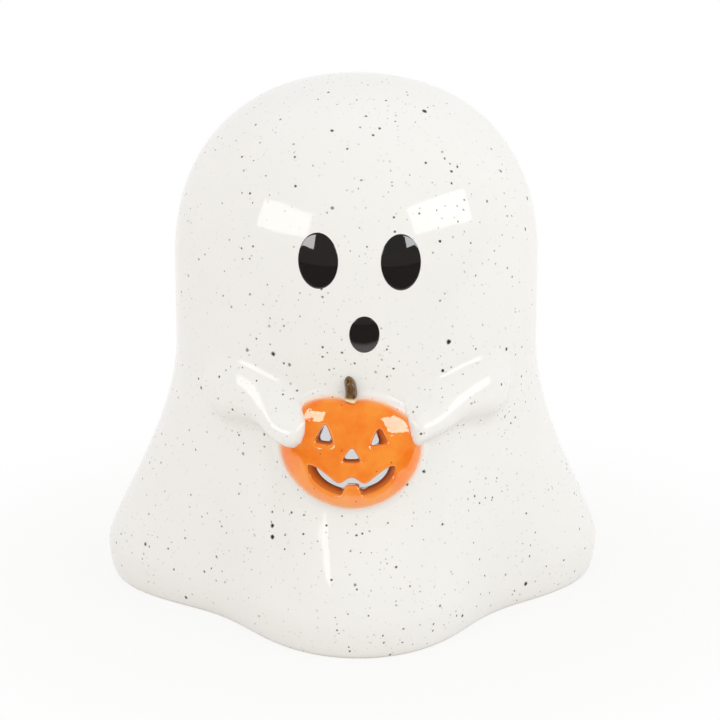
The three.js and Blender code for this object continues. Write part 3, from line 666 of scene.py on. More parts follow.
# Thin slab that follows the dome. Its front and back are filled regions, joined round the outside by a side wall and
# through each cut by a wall whose front edge is a quarter circle.
def pumpkinLantern():
    f = faceForm
    cuts = [*[triangleCut(**form) for form in (*f["eyes"], f["nose"])], smileCut()]
    rounded = (*f["lips"][:3], f["lowerLip"])
    lips = [lipRadius(cut[:, :2], *radii) for cut, *radii in zip(cuts, f["lips"], rounded)]
    outline = pumpkinOutline(wholeTurn(f["rimPoints"]))
    shares = np.sin(np.linspace(np.arcsin(f["faceShare"]), np.pi / 2, f["edgeRings"]))
    # staggered grid
    step = f["grid"]
    u, v = [c.ravel() for c in np.meshgrid(*(np.arange(-half, half, step) for half in f["gridHalf"]))]
    loose = np.stack([u + step / 2 * (np.round(v / step) % 2), v], 1)

    def fillFace(rim, holes, margin):
        room = insideLoop(loose, rim) & (loopDistance(loose, rim) > margin)
        for hole in holes:
            room &= ~insideLoop(loose, hole) & (loopDistance(loose, hole) > margin)
        return fillRegion([rim, *holes], loose[room])

    def place(flat, lift):
        return ontoFront(p["x"] + flat[:, 0], p["z"] + flat[:, 1], lift)

    def backLift(flat):
        return np.maximum(domeLift(*flat.T) - p["wall"], p["backLift"])

    parts, depths = [], []

    # takes in points with their depth in the cut, and gives their numbers
    def take(points, depth):
        start = sum(len(part) for part in parts)
        parts.append(points)
        depths.append(depth + np.zeros(len(points)))
        return start + np.arange(len(points))

    frontMargin, backMargin = f["margins"]
    holes = [cut[:, :2] + lip[:, None] * outward(cut[:, :2]) for cut, lip in zip(cuts, lips)]
    front, frontFaces, frontRims = fillFace(outline * shares[0], holes, frontMargin)
    back, backFaces, backRims = fillFace(outline * f["backShare"], [cut[:, 2:] for cut in cuts], backMargin)
    take(place(front, domeLift(*front.T)), 0)
    base = take(place(back, backLift(back)), p["wall"])[0]
    faces = [frontFaces, backFaces[:, ::-1] + base]

    # side wall: down the dome's edge, then below the ledge, then in to the back
    rings = [frontRims[0], *[take(place(outline * s, domeLift(*(outline * s).T)), 0) for s in shares[1:]]]
    rings.append(take(place(outline, np.full(len(outline), -p["sink"] * f["sideSink"])), 0))
    faces.append(loopQuads(np.array([*rings, backRims[0] + base]))[:, ::-1])

    for cut, lip, frontNumbers, backNumbers in zip(cuts, lips, frontRims[1:], backRims[1:]):
        ring, far = cut[:, :2], cut[:, 2:]
        rings = [frontNumbers]
        way = outward(ring)
        for turned in np.linspace(0, np.pi / 2, f["lipRings"])[1:]:
            flat = ring + (lip * (1 - np.sin(turned)))[:, None] * way
            down = lip * (1 - np.cos(turned))
            rings.append(take(place(flat, domeLift(*flat.T) - down), down))
        top, bottom = domeLift(*ring.T) - lip, backLift(far)
        for share in f["wallShares"]:
            flat = ring + share * (far - ring)
            rings.append(take(place(flat, top + share * (bottom - top)), lip + share * (p["wall"] - lip)))
        faces.append(loopQuads(np.array([*rings, backNumbers + base])))
    points = np.vstack(parts)
    made = meshObject("pumpkin_lantern_glazed", points, *faces)
    setAttribute(made, "cutDepth", np.concatenate(depths))
    setAttribute(made, "rim", pumpkinShare(points[:, 0] - p["x"], points[:, 2] - p["z"])[0])
    return made


pumpkin = pumpkinLantern()
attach(pumpkin, "figure")
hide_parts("pumpkin")
print("pumpkin lantern:", len(pumpkin.data.polygons), "faces")


# Stem

stemForm = dict(
    path=((-3.1, 66.6), (-2.6, 69.8), (-3.95, 72.9)), width=(3.6, 2.8), lift=(3.2, 2.2), sink=1.2,
    tipRound=0.34, ridges=5, ridgeDepth=0.14, ridgeTwist=2.2, ridgeFade=0.6, footFlare=0.2, footShare=0.16,
    rings=34, bunching=1.6, columns=48, tipClosed=0.995,
)


# Curved stem: round sections carried along a parabola up the front, each with shallow ridges, closed by a dome
def stemShape():
    s = stemForm
    t = 1 - (1 - np.linspace(0, 1, s["rings"])) ** s["bunching"]
    p0, p1, p2 = np.array(s["path"], float)
    t = t[:, None]
    path = (1 - t) ** 2 * p0 + 2 * t * (1 - t) * p1 + t * t * p2
    along = 2 * (1 - t) * (p1 - p0) + 2 * t * (p2 - p1)
    along /= np.linalg.norm(along, axis=1, keepdims=True)
    end = np.sqrt(1 - np.clip((t - 1 + s["tipRound"]) / s["tipRound"], 0, s["tipClosed"]) ** 2)
    turned = wholeTurn(s["columns"])
    ridge = 0.5 - 0.5 * np.cos(s["ridges"] * turned + s["ridgeTwist"] * t)
    ridge = 1 - s["ridgeDepth"] * ridge * (1 - s["ridgeFade"] * t)
    half = (s["width"][0] + (s["width"][1] - s["width"][0]) * t) / 2 * end * ridge
    flare = 1 + s["footFlare"] * bump(t / s["footShare"])
    side = half * flare * np.cos(turned)
    x = path[:, :1] + along[:, 1:] * side
    z = path[:, 1:] - along[:, :1] * side
    top = (s["lift"][0] + (s["lift"][1] - s["lift"][0]) * t) * end * ridge
    lift = np.where(np.sin(turned) > 0, top * np.sin(turned), s["sink"] * np.sin(turned) * end)
    rings = ontoFront(x, z, lift)
    return poledSkin("pumpkin_stem_glazed", rings[0].mean(0), rings, rings[-1].mean(0))


stem = stemShape()
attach(stem, "figure")
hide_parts("pumpkin_stem")


# Eyes and mouth

blackForms = dict(
    left_eye=dict(x=-11.4, z=103.5, halfWidth=5.15, halfHeight=7.25, lean=0),
    right_eye=dict(x=10.0, z=103.0, halfWidth=5.25, halfHeight=7.3, lean=3),
    mouth=dict(x=0.5, z=84.2, halfWidth=3.95, halfHeight=4.9, lean=0),
)
enamel = dict(
    # height of the drop's edge, of the roll over it and of its dome, depth of its back; the share of the way out
    # where the roll begins, and the share that it takes
    edge=0.1, roll=0.12, dome=0.46, under=-0.8, rollFrom=0.94, rollOver=0.06,
    # mesh: shares of the way out for the back's rings, rings over the front, and the angle where they end
    columns=112, backShares=(0.5, 0.96), frontRings=26, frontTo=0.02,
)


# Oval drop of enamel: rings from the middle of its back, round its edge and over its low dome
def ovalDrop(name, x, z, halfWidth, halfHeight, lean):
    angle = wholeTurn(enamel["columns"])
    over = np.sin(np.linspace(np.pi / 2, enamel["frontTo"], enamel["frontRings"]))
    shares = np.concatenate([enamel["backShares"], over])
    rolled = enamel["roll"] * roundOff((over - enamel["rollFrom"]) / enamel["rollOver"])
    lifts = np.concatenate([
        [enamel["under"]] * len(enamel["backShares"]),
        -enamel["roll"] + enamel["edge"] + rolled + enamel["dome"] * (1 - over ** 2),
    ])
    u = shares[:, None] * halfWidth * np.cos(angle)
    v = shares[:, None] * halfHeight * np.sin(angle)
    leant = np.radians(lean)
    px, pz = x + u * np.cos(leant) - v * np.sin(leant), z + u * np.sin(leant) + v * np.cos(leant)
    rings = ontoFront(px, pz, lifts[:, None] + 0 * px)
    return poledSkin(name + "_enamel", rings[0].mean(0), rings, rings[-1].mean(0))


blackPieces = []
for node, form in blackForms.items():
    piece = ovalDrop(node, **form)
    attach(piece, "figure")
    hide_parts(node)
    blackPieces.append(piece)
print("stem, eyes and mouth made")


# Tealight

tealightForm = dict(
    bottom=5.3, baseRadius=18.1, rimRadius=18.9, height=15, foil=0.35, bend=0.8, rimRoll=0.42, rimStep=0.5,
    flutes=64, fluteDepth=0.16, flutesFrom=(1.2, 2.6), flutesTo=(2.4, 1.4), baseRing=13, baseRingWidth=2.2,
    baseRingHeight=0.25,
    waxRadius=17.75, waxHeight=12, waxSide=2, meniscus=0.9, meniscusWidth=0.7, wickMeniscus=0.5,
    wickMeniscusWidth=0.8, dip=0.35, dipAt=4.5, dipWidth=9, waxUnder=((6.4, 0.75), (12, 0.75)),
    # down the wax's hole round the wick, and out over the pocket for the tab
    waxInside=((0.95, 8), (0.95, 3.1), (1.7, 3.1), (1.7, 1.2), (6.4, 1.2)), waxMouth=1.0,
    wickRadius=0.8, wickFrom=0.45, wickAbove=5, wickLean=1.5, leanFrom=0.72, leanTo=1.15, leanBack=0.4,
    leanSink=0.35, strands=3, plait=2.6, plaitDepth=0.12, wickCore=0.8, wickTip=0.97, tipRound=0.03,
    tipClosed=0.98, wickRings=120, wickColumns=28,
    # cup's profile: rows under the base, round its bend, up the wall, over the rim and across the inside, where the
    # base starts, the wall's first share, how much it is short of the rim, and the rim's arc in half turns
    cupRows=(9, 7, 14, 15, 6), baseMiddle=1, wallFrom=0.1, wallShort=1.2, rimArc=(-0.6, 1.05),
    # inside of the wall: how far in from the rim it ends, where it starts, and how much it is short of the rim
    inside=(0.6, 0.9, 1.4), columnsPerFlute=5,
    # wax: rows up its side and over its top, its lower corner by distances in from the base and heights, how far in
    # its side starts, and how much that is short of the top
    waxRows=(8, 44), waxColumns=96, waxCorner=((1.4, 0.75), (0.85, 1.3)), waxSideIn=0.8, waxSideShort=0.2,
)
tea = tealightForm


# Foil cup: a profile up the outside, over the rolled rim and down the inside, turned, with fine flutes in the wall
def cupShape():
    base, rim, high, foil, roll = (tea[k] for k in ("baseRadius", "rimRadius", "height", "foil", "rimRoll"))
    underRows, bendRows, wallRows, rimRows, insideRows = tea["cupRows"]
    corner = np.linspace(-np.pi / 2, 0, bendRows)
    over = np.linspace(*np.multiply(tea["rimArc"], np.pi), rimRows)
    wallUp = np.linspace(tea["wallFrom"], 1, wallRows)
    rollTop = high - roll
    bend, step, middle = tea["bend"], tea["rimStep"], tea["baseMiddle"]
    under = np.linspace(middle, base - 2 * bend, underRows)
    insideIn, insideFoot, insideShort = tea["inside"]
    ringed = tea["baseRingHeight"] * bump((under - tea["baseRing"]) / tea["baseRingWidth"])
    profile = np.vstack([
        np.stack([under, ringed], 1),
        np.stack([base - bend + bend * np.cos(corner), bend + bend * np.sin(corner)], 1),
        np.stack([base + (rim - step - base) * wallUp, bend + (rollTop - tea["wallShort"]) * wallUp], 1),
        np.stack([rim - roll + roll * np.cos(over), rollTop + roll * np.sin(over)], 1),
        np.stack([base - foil + (rim - insideIn - base) * wallUp, insideFoot + (rollTop - insideShort) * wallUp],
                 1)[::-1],
        np.stack([np.linspace(base - 2 * bend, middle, insideRows), np.full(insideRows, foil)], 1),
    ])
    lowest, highest = tea["flutesTo"]

    def flutes(angles, radii, heights):
        ended = 1 - ease(heights, high - lowest, high - highest)
        inWall = ease(heights, *tea["flutesFrom"]) * ended * (radii > base - 1)
        return inWall[:, None] * tea["fluteDepth"] * np.cos(tea["flutes"] * angles)[None, :]

    rings = latheRings(profile[:, 0], profile[:, 1] + tea["bottom"], tea["flutes"] * tea["columnsPerFlute"], flutes)
    return poledSkin("tealight_cup_foil", [0, 0, tea["bottom"]], rings, [0, 0, tea["bottom"] + foil])


# Wax: a lathed plug whose top climbs a little at the cup and at the wick, and dips between
def waxShape():
    high, base, wide, mouth = (tea[k] for k in ("waxHeight", "baseRadius", "waxRadius", "waxMouth"))
    sideRows, topRows = tea["waxRows"]
    r = np.linspace(wide, mouth, topRows)
    atCup = tea["meniscus"] * np.exp(-(wide - r) / tea["meniscusWidth"])
    atWick = tea["wickMeniscus"] * np.exp(-(r - mouth) / tea["wickMeniscusWidth"])
    top = high + atCup + atWick - tea["dip"] * bump((r - tea["dipAt"]) / tea["dipWidth"])
    profile = np.vstack([
        tea["waxUnder"],
        [[base - inwards, up] for inwards, up in tea["waxCorner"]],
        np.linspace([base - tea["waxSideIn"], tea["waxSide"]], [wide, high - tea["waxSideShort"]], sideRows),
        np.stack([r, top], 1),
        tea["waxInside"],
    ])
    rings = latheRings(profile[:, 0], profile[:, 1] + tea["bottom"], tea["waxColumns"])
    count, columns = rings.shape[:2]
    numbers = np.arange(count * columns).reshape(count, columns)
    return meshObject("tealight_wax_poured", rings.reshape(-1, 3), loopQuads(np.vstack([numbers, numbers[:1]])))


# Braided wick: round sections carried up a path that leans over at its tip, their radius rippled by two opposed
# helices as the plaits of a braid are
def wickShape():
    long = tea["waxHeight"] + tea["wickAbove"] - tea["wickFrom"]
    t = np.linspace(0, 1, tea["wickRings"])
    lean = tea["wickLean"] * ease(t, tea["leanFrom"], tea["leanTo"])
    up = tea["wickFrom"] + tea["bottom"] + long * t - tea["leanSink"] * lean
    path = np.stack([lean, -tea["leanBack"] * lean, up], 1)
    angle = wholeTurn(tea["wickColumns"])
    twist = 2 * np.pi * long * t[:, None] / tea["plait"]
    strand = tea["strands"] / 2 * angle
    ripple = np.abs(np.sin(strand + twist)) + np.abs(np.sin(strand - twist))
    close = np.sqrt(1 - np.clip((t - tea["wickTip"]) / tea["tipRound"], 0, tea["tipClosed"]) ** 2)[:, None]
    half = (tea["wickRadius"] * tea["wickCore"] + tea["plaitDepth"] * (ripple - 1)) * close
    rings = np.stack([
        path[:, :1] + half * np.cos(angle), path[:, 1:2] + half * np.sin(angle), path[:, 2:] + 0 * half,
    ], 2)
    return poledSkin("tealight_wick_braided", path[0], rings, path[-1])


cup, wax, wick = cupShape(), waxShape(), wickShape()
for piece, node, slot in ((cup, "tealight_cup", "cup_aluminium"), (wax, "tealight_wax", "wax"),
                          (wick, "tealight_wick", "cotton_wick")):
    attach(piece, "tealight")
    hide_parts(node)
print("tealight made")


# Materials

# Linear colour of an sRGB hex value
def linear(hexColour):
    parts = [int(hexColour[k:k + 2], 16) / 255 for k in (1, 3, 5)]
    return (*[c / 12.92 if c <= 0.04045 else ((c + 0.055) / 1.055) ** 2.4 for c in parts], 1)


# Adds one shader node: settings are its properties, and inputs go by name or number to a value, a hex colour, a
# socket, or a node, whose first output in use is then linked
def addNode(tree, kind, inputs=None, **settings):
    node = tree.nodes.new("ShaderNode" + kind)
    for name, value in settings.items():
        setattr(node, name, value)
    for name, value in (inputs or {}).items():
        if isinstance(value, bpy.types.Node):
            value = next(output for output in value.outputs if output.enabled)
        if isinstance(value, bpy.types.NodeSocket):
            tree.links.new(value, node.inputs[name])
        else:
            node.inputs[name].default_value = linear(value) if isinstance(value, str) else value
    return node


# Gives pieces a new material. The surface function gets what adds a node to the material, and the place in mm.
def dress(name, surface, *pieces):
    made = bpy.data.materials.new(name)
    made.use_nodes = True
    made.node_tree.nodes.clear()
    add = partial(addNode, made.node_tree)
    place = add("TexCoord").outputs["Object"]
    inMm = add("VectorMath", {0: place, "Scale": 1 / metres}, operation="SCALE")
    add("OutputMaterial", {"Surface": surface(add, inMm)})
    for piece in pieces:
        piece.data.materials.clear()
        piece.data.materials.append(made)


whiteGlaze = dict(
    body="#f5f4f1", shade="#f0eeea", speck="#2d2a27", halo="#f9cdb0", haloShare=0.75, bisque="#e6dccb",
    footEdge=(0.55, 0.25),  # heights in mm between which the glaze ends
    # cell size, smallest and largest radius in mm, depth of shade, share left out, and how much the clusters matter
    specks=((1.5, 0.22, 0.45, 0.17, 0.3, 0.5), (1.7, 0.2, 0.5, 0.9, 0.5, 0.95), (5.8, 0.38, 0.95, 1.0, 0.3, 0.4)),
    coreShare=0.45,
)


# Tin-white earthenware glaze with iron specks under it. It gives the eye a wet, even gloss over a warm white that
# is a little deeper where it lies thin, dots with soft edges, and bare fired clay on the foot.
def speckledGlaze(add, inMm):
    waver = add("TexNoise", {"Vector": inMm, "Scale": 1.3, "Detail": 2.0})
    centred = add("VectorMath", {0: waver.outputs["Color"], 1: (0.5, 0.5, 0.5)}, operation="SUBTRACT")
    shift = add("VectorMath", {0: centred, "Scale": 0.5}, operation="SCALE")
    wavy = add("VectorMath", {0: inMm, 1: shift}, operation="ADD")
    clusters = add("TexNoise", {"Vector": inMm, "Scale": 0.055, "Detail": 2.0})
    crowd = add("Math", {0: clusters, 1: 0.5}, operation="SUBTRACT")
    specks = 0.0
    for cell, smallest, largest, depth, leftOut, clustering in whiteGlaze["specks"]:
        cells = add("TexVoronoi", {"Vector": wavy, "Scale": 1 / cell})
        chance = add("SeparateColor", {"Color": cells.outputs["Color"]})
        away = add("Math", {0: cells, 1: cell}, operation="MULTIPLY")
        drawn = add("Math", {0: chance, 1: 2.0}, operation="POWER")
        radius = add("MapRange", {"Value": drawn, "To Min": smallest, "To Max": largest})
        core = add("Math", {0: radius, 1: whiteGlaze["coreShare"]}, operation="MULTIPLY")
        dot = add("MapRange", {"Value": away, "From Min": radius, "From Max": core},
                  interpolation_type="SMOOTHSTEP")
        luck = add("Math", {0: crowd, 1: 2 * clustering, 2: chance.outputs[1]}, operation="MULTIPLY_ADD")
        kept = add("MapRange", {"Value": luck, "From Min": leftOut, "From Max": leftOut + 0.3, "To Max": depth})
        speck = add("Math", {0: dot, 1: kept}, operation="MULTIPLY")
        specks = add("Math", {0: specks, 1: speck}, operation="MAXIMUM")
    cloud = add("TexNoise", {"Vector": inMm, "Scale": 0.03, "Detail": 3.0})
    bled = add("Attribute", attribute_name="bleed").outputs["Fac"]
    halo = add("Math", {0: bled, 1: whiteGlaze["haloShare"]}, operation="MULTIPLY")
    height = add("SeparateXYZ", {0: inMm}).outputs["Z"]
    glazed, bare = whiteGlaze["footEdge"]
    foot = add("MapRange", {"Value": height, "From Min": glazed, "From Max": bare})
    colour = whiteGlaze["body"]
    for share, over in ((cloud, "shade"), (halo, "halo"), (specks, "speck"), (foot, "bisque")):
        colour = add("Mix", {"Factor": share, "A": colour, "B": whiteGlaze[over]}, data_type="RGBA")
    sheen = add("TexNoise", {"Vector": inMm, "Scale": 0.2, "Detail": 3.0})
    gloss = add("MapRange", {"Value": sheen, "To Min": 0.04, "To Max": 0.08})
    rough = add("Mix", {"Factor": foot, "A": gloss, "B": 0.85}, data_type="FLOAT")
    swell = add("TexNoise", {"Vector": inMm, "Scale": 0.09, "Detail": 1.5})
    bumps = add("Math", {0: specks, 1: 0.12, 2: swell}, operation="MULTIPLY_ADD")
    relief = add("Bump", {"Height": bumps, "Distance": 0.00012})
    return add("BsdfPrincipled", {"Base Color": colour, "Roughness": rough, "IOR": 1.5,
                                  "Specular IOR Level": 0.25, "Normal": relief})


orangeGlaze = dict(
    # the darkest colour, which the cuts take on between two depths in mm, is glaze pooled there and painted shade
    deep="#fb7c14", warm="#ff972f", pale="#fda352", pooled="#fb9136", deepPoolShade="#c65a1a", edge="#fbcfa8",
    dot="#5b3318", dotShare=0.6, poolShadeDepths=(1.8, 4.4),
    # where each starts and is full, and its most: paler low on the pumpkin, by the height in mm, a painted reflection
    # of the pale floor below it; pooled in the cuts, by the depth in mm; thin at the edge, by the share of the way to
    # it
    low=(50.0, 39.0, 0.75), pool=(0.05, 0.9, 0.85), thin=(0.972, 0.998, 0.75),
)


# Transparent orange glaze over white: paler low down, a painted reflection of the pale floor; pooled in the cuts, and
# darker deeper in them, pooled glaze with painted shade; peach where it breaks thin over the edges, with a few iron
# dots.
def pumpkinGlaze(add, inMm):
    o = orangeGlaze
    wash = add("TexNoise", {"Vector": inMm, "Scale": 0.16, "Detail": 4.0, "Roughness": 0.6})
    strong = add("MapRange", {"Value": wash, "From Min": 0.35, "From Max": 0.65})
    height = add("SeparateXYZ", {0: inMm}).outputs["Z"]
    depth, rim = (add("Attribute", attribute_name=name).outputs["Fac"] for name in ("cutDepth", "rim"))
    # the paler colour low on the pumpkin is a painted reflection of the pale floor below it
    low, pool, thin = (
        add("MapRange", {"Value": value, "From Min": start, "From Max": full, "To Max": most},
            interpolation_type="SMOOTHSTEP")
        for value, (start, full, most) in ((height, o["low"]), (depth, o["pool"]), (rim, o["thin"]))
    )
    # darker deeper in the cuts: glaze pooled there, and painted shade of the recess
    within = add("MapRange", {"Value": depth, "From Min": o["poolShadeDepths"][0], "From Max": o["poolShadeDepths"][1]})
    poolAndShade = add("Mix", {"Factor": within, "A": o["pooled"], "B": o["deepPoolShade"]}, data_type="RGBA")
    cells = add("TexVoronoi", {"Vector": inMm, "Scale": 0.55})
    chance = add("SeparateColor", {"Color": cells.outputs["Color"]})
    radius = add("MapRange", {"Value": chance, "From Min": 0.3, "To Max": 0.14})
    dot = add("Math", {0: cells, 1: radius}, operation="LESS_THAN")
    dots = add("Math", {0: dot, 1: o["dotShare"]}, operation="MULTIPLY")
    colour = o["deep"]
    for share, over in ((strong, o["warm"]), (low, o["pale"]), (pool, poolAndShade), (thin, o["edge"]), (dots, o["dot"])):
        colour = add("Mix", {"Factor": share, "A": colour, "B": over}, data_type="RGBA")
    swell = add("TexNoise", {"Vector": inMm, "Scale": 0.3, "Detail": 2.0})
    relief = add("Bump", {"Height": swell, "Distance": 0.00015})
    gloss = add("MapRange", {"Value": wash, "To Min": 0.04, "To Max": 0.09})
    return add("BsdfPrincipled", {"Base Color": colour, "Roughness": gloss, "IOR": 1.5, "Coat Weight": 1.0,
                                  "Coat Roughness": 0.04, "Normal": relief, "Coat Normal": relief})


brownGlaze = dict(dark="#3f2a18", light="#8a6534", foot="#f2dcae", footEdge=(67.8, 67.2))


# Brown brushed glaze: streaks along the stem, pale gold over its lowest part
def stemGlaze(add, inMm):
    stretched = add("Mapping", {0: inMm, "Scale": (1.0, 1.0, 0.25)})
    streaks = add("TexNoise", {"Vector": stretched, "Scale": 1.6, "Detail": 4.0})
    strong = add("MapRange", {"Value": streaks, "From Min": 0.35, "From Max": 0.68})
    height = add("SeparateXYZ", {0: inMm}).outputs["Z"]
    above, below = brownGlaze["footEdge"]
    thin = add("MapRange", {"Value": height, "From Min": above, "From Max": below})
    colour = brownGlaze["dark"]
    for share, over in ((strong, "light"), (thin, "foot")):
        colour = add("Mix", {"Factor": share, "A": colour, "B": brownGlaze[over]}, data_type="RGBA")
    relief = add("Bump", {"Height": streaks, "Distance": 0.0002, "Strength": 0.8})
    return add("BsdfPrincipled", {"Base Color": colour, "Roughness": 0.16, "IOR": 1.5, "Normal": relief})


# Black on-glaze enamel: a drop that dried glossy, very slightly brown and dappled where it is thin
def faceEnamel(add, inMm):
    dapple = add("TexNoise", {"Vector": inMm, "Scale": 0.7, "Detail": 5.0})
    colour = add("Mix", {"Factor": dapple, "A": "#120e0b", "B": "#1c1713"}, data_type="RGBA")
    gloss = add("MapRange", {"Value": dapple, "To Min": 0.03, "To Max": 0.07})
    relief = add("Bump", {"Height": dapple, "Distance": 0.00001, "Strength": 0.6})
    return add("BsdfPrincipled", {"Base Color": colour, "Roughness": gloss, "IOR": 1.5, "Coat Weight": 1.0,
                                  "Coat Roughness": 0.03, "Normal": relief, "Coat Normal": relief})


# Drawn aluminium foil: a bright satin metal with fine upright draw lines and dull scuffs
def cupFoil(add, inMm):
    stretched = add("Mapping", {0: inMm, "Scale": (3.0, 3.0, 0.15)})
    lines = add("TexNoise", {"Vector": stretched, "Scale": 2.0, "Detail": 3.0})
    scuffs = add("TexNoise", {"Vector": inMm, "Scale": 0.35, "Detail": 5.0})
    colour = add("Mix", {"Factor": scuffs, "A": "#e2e3e4", "B": "#c9cbcd"}, data_type="RGBA")
    rough = add("MapRange", {"Value": scuffs, "From Min": 0.3, "From Max": 0.7, "To Min": 0.2, "To Max": 0.38})
    relief = add("Bump", {"Height": lines, "Distance": 0.00004})
    return add("BsdfPrincipled", {"Base Color": colour, "Roughness": rough, "Metallic": 1.0, "Normal": relief})


# Poured paraffin: waxy and slightly translucent, with a faint bloom of fine crystals on its top
def paraffin(add, inMm):
    bloom = add("TexNoise", {"Vector": inMm, "Scale": 0.5, "Detail": 6.0, "Roughness": 0.65})
    crystals = add("TexVoronoi", {"Vector": inMm, "Scale": 1.6})
    colour = add("Mix", {"Factor": bloom, "A": "#f3eee0", "B": "#fbf9f2"}, data_type="RGBA")
    rough = add("MapRange", {"Value": bloom, "To Min": 0.3, "To Max": 0.55})
    bumps = add("Math", {0: crystals, 1: 0.3, 2: bloom}, operation="MULTIPLY_ADD")
    relief = add("Bump", {"Height": bumps, "Distance": 0.0001, "Strength": 0.7})
    return add("BsdfPrincipled", {
        "Base Color": colour, "Roughness": rough, "IOR": 1.44, "Subsurface Weight": 0.35,
        "Subsurface Radius": (1.0, 0.8, 0.6), "Subsurface Scale": 0.002, "Normal": relief,
    })


# Waxed cotton braid: off-white fibres, matt, a little darker in places at random
def braidCotton(add, inMm):
    fibres = add("TexNoise", {"Vector": inMm, "Scale": 5.0, "Detail": 4.0})
    colour = add("Mix", {"Factor": fibres, "A": "#cfc8b6", "B": "#f3eee1"}, data_type="RGBA")
    relief = add("Bump", {"Height": fibres, "Distance": 0.00008})
    return add("BsdfPrincipled", {"Base Color": colour, "Roughness": 0.75, "IOR": 1.5, "Normal": relief})


# Tinned sheet steel: grey bright metal with soft spangle
def tinnedSteel(add, inMm):
    spangle = add("TexVoronoi", {"Vector": inMm, "Scale": 0.8})
    colour = add("Mix", {"Factor": spangle, "A": "#c4c6c8", "B": "#a9acaf"}, data_type="RGBA")
    rough = add("MapRange", {"Value": spangle, "To Min": 0.25, "To Max": 0.4})
    relief = add("Bump", {"Height": spangle, "Distance": 0.00002})
    return add("BsdfPrincipled", {"Base Color": colour, "Roughness": rough, "Metallic": 1.0, "Normal": relief})


dress("speckled_white_glaze", speckledGlaze, ghostBody)
dress("orange_pumpkin_glaze", pumpkinGlaze, pumpkin)
dress("brown_stem_glaze", stemGlaze, stem)
dress("black_face_enamel", faceEnamel, *blackPieces)
dress("drawn_aluminium_foil", cupFoil, cup)
dress("poured_paraffin", paraffin, wax)
dress("waxed_cotton_braid", braidCotton, wick)
dress("tinned_sheet_steel", tinnedSteel, frame["nodes"]["wick_tab"])
print("materials made")


# Studio

studio = dict(
    ambient=(1.03, 0.86), room=0.2, roomFrom=-0.45, roomTo=0.5, roomColour=(1, 0.997, 0.99, 1),
    floorWhite="#eae8e5", floorGrey="#57585a", floorGlow=0.84, glowWithin=70, glowBeyond=165, greyFrom=-165,
    greyTo=-235,
    # painted shade behind the object, where its glow is turned down: its middle, how much shorter it counts along y,
    # its level, and where it ends
    shadePlace=(-3.0, 125.0, 0.0), shadeStretch=0.55, shade=0.66, shadeFrom=36, shadeTo=62,
    # direction round from the front, height of the beam, lean, width and height seen from the object, all in
    # degrees, then the strength that lights the object, the strength that its gloss shows, and its colour
    boxes=(
        ("left_softbox", -47.2, 21.3, -2, 33.5, 15.5, 1.0, 4.6, (1, 0.985, 0.96)),
        ("right_softbox", 54.4, 22.9, 0, 41, 16.5, 1.5, 4.6, (0.955, 0.995, 1)),
    ),
    boxDistance=900, boxAim=80,
    # floor sheet: how far it runs forward, back and to each side, its bend, how high it rises, and its rows along
    # the floor, rows round the bend and columns
    sweepFront=1700.0, sweepBack=1500.0, sweepSide=2200, sweepBend=500.0, sweepHigh=1700, sweepRows=(40, 16, 24),
)


# Floor sheet that rises behind the object on a quarter circle
def floorSweep():
    back, radius, side = studio["sweepBack"], studio["sweepBend"], studio["sweepSide"]
    floorRows, bendRows, columns = studio["sweepRows"]
    along = np.linspace(-studio["sweepFront"], back, floorRows)
    bend = np.linspace(0, np.pi / 2, bendRows)[1:]
    y = np.concatenate([along, back + radius * np.sin(bend), [back + radius]])
    z = np.concatenate([0 * along, radius * (1 - np.cos(bend)), [studio["sweepHigh"]]])
    x = np.linspace(-side, side, columns)
    points = np.stack([np.tile(x, len(y)), np.repeat(y, len(x)), np.repeat(z, len(x))], 1)
    numbers = np.arange(len(points)).reshape(len(y), len(x))
    corners = [numbers[:-1, :-1], numbers[:-1, 1:], numbers[1:, 1:], numbers[1:, :-1]]
    return meshObject("floor_sweep", points, np.stack([c.ravel() for c in corners], 1))


# 1 for what the camera sees, straight or by way of gloss or glass, and 0 for what only lights the object
def shownRays(add, light):
    seen = add("Math", {0: light.outputs["Is Camera Ray"], 1: light.outputs["Is Glossy Ray"]}, operation="MAXIMUM")
    return add("Math", {0: seen, 1: light.outputs["Is Transmission Ray"]}, operation="MAXIMUM")


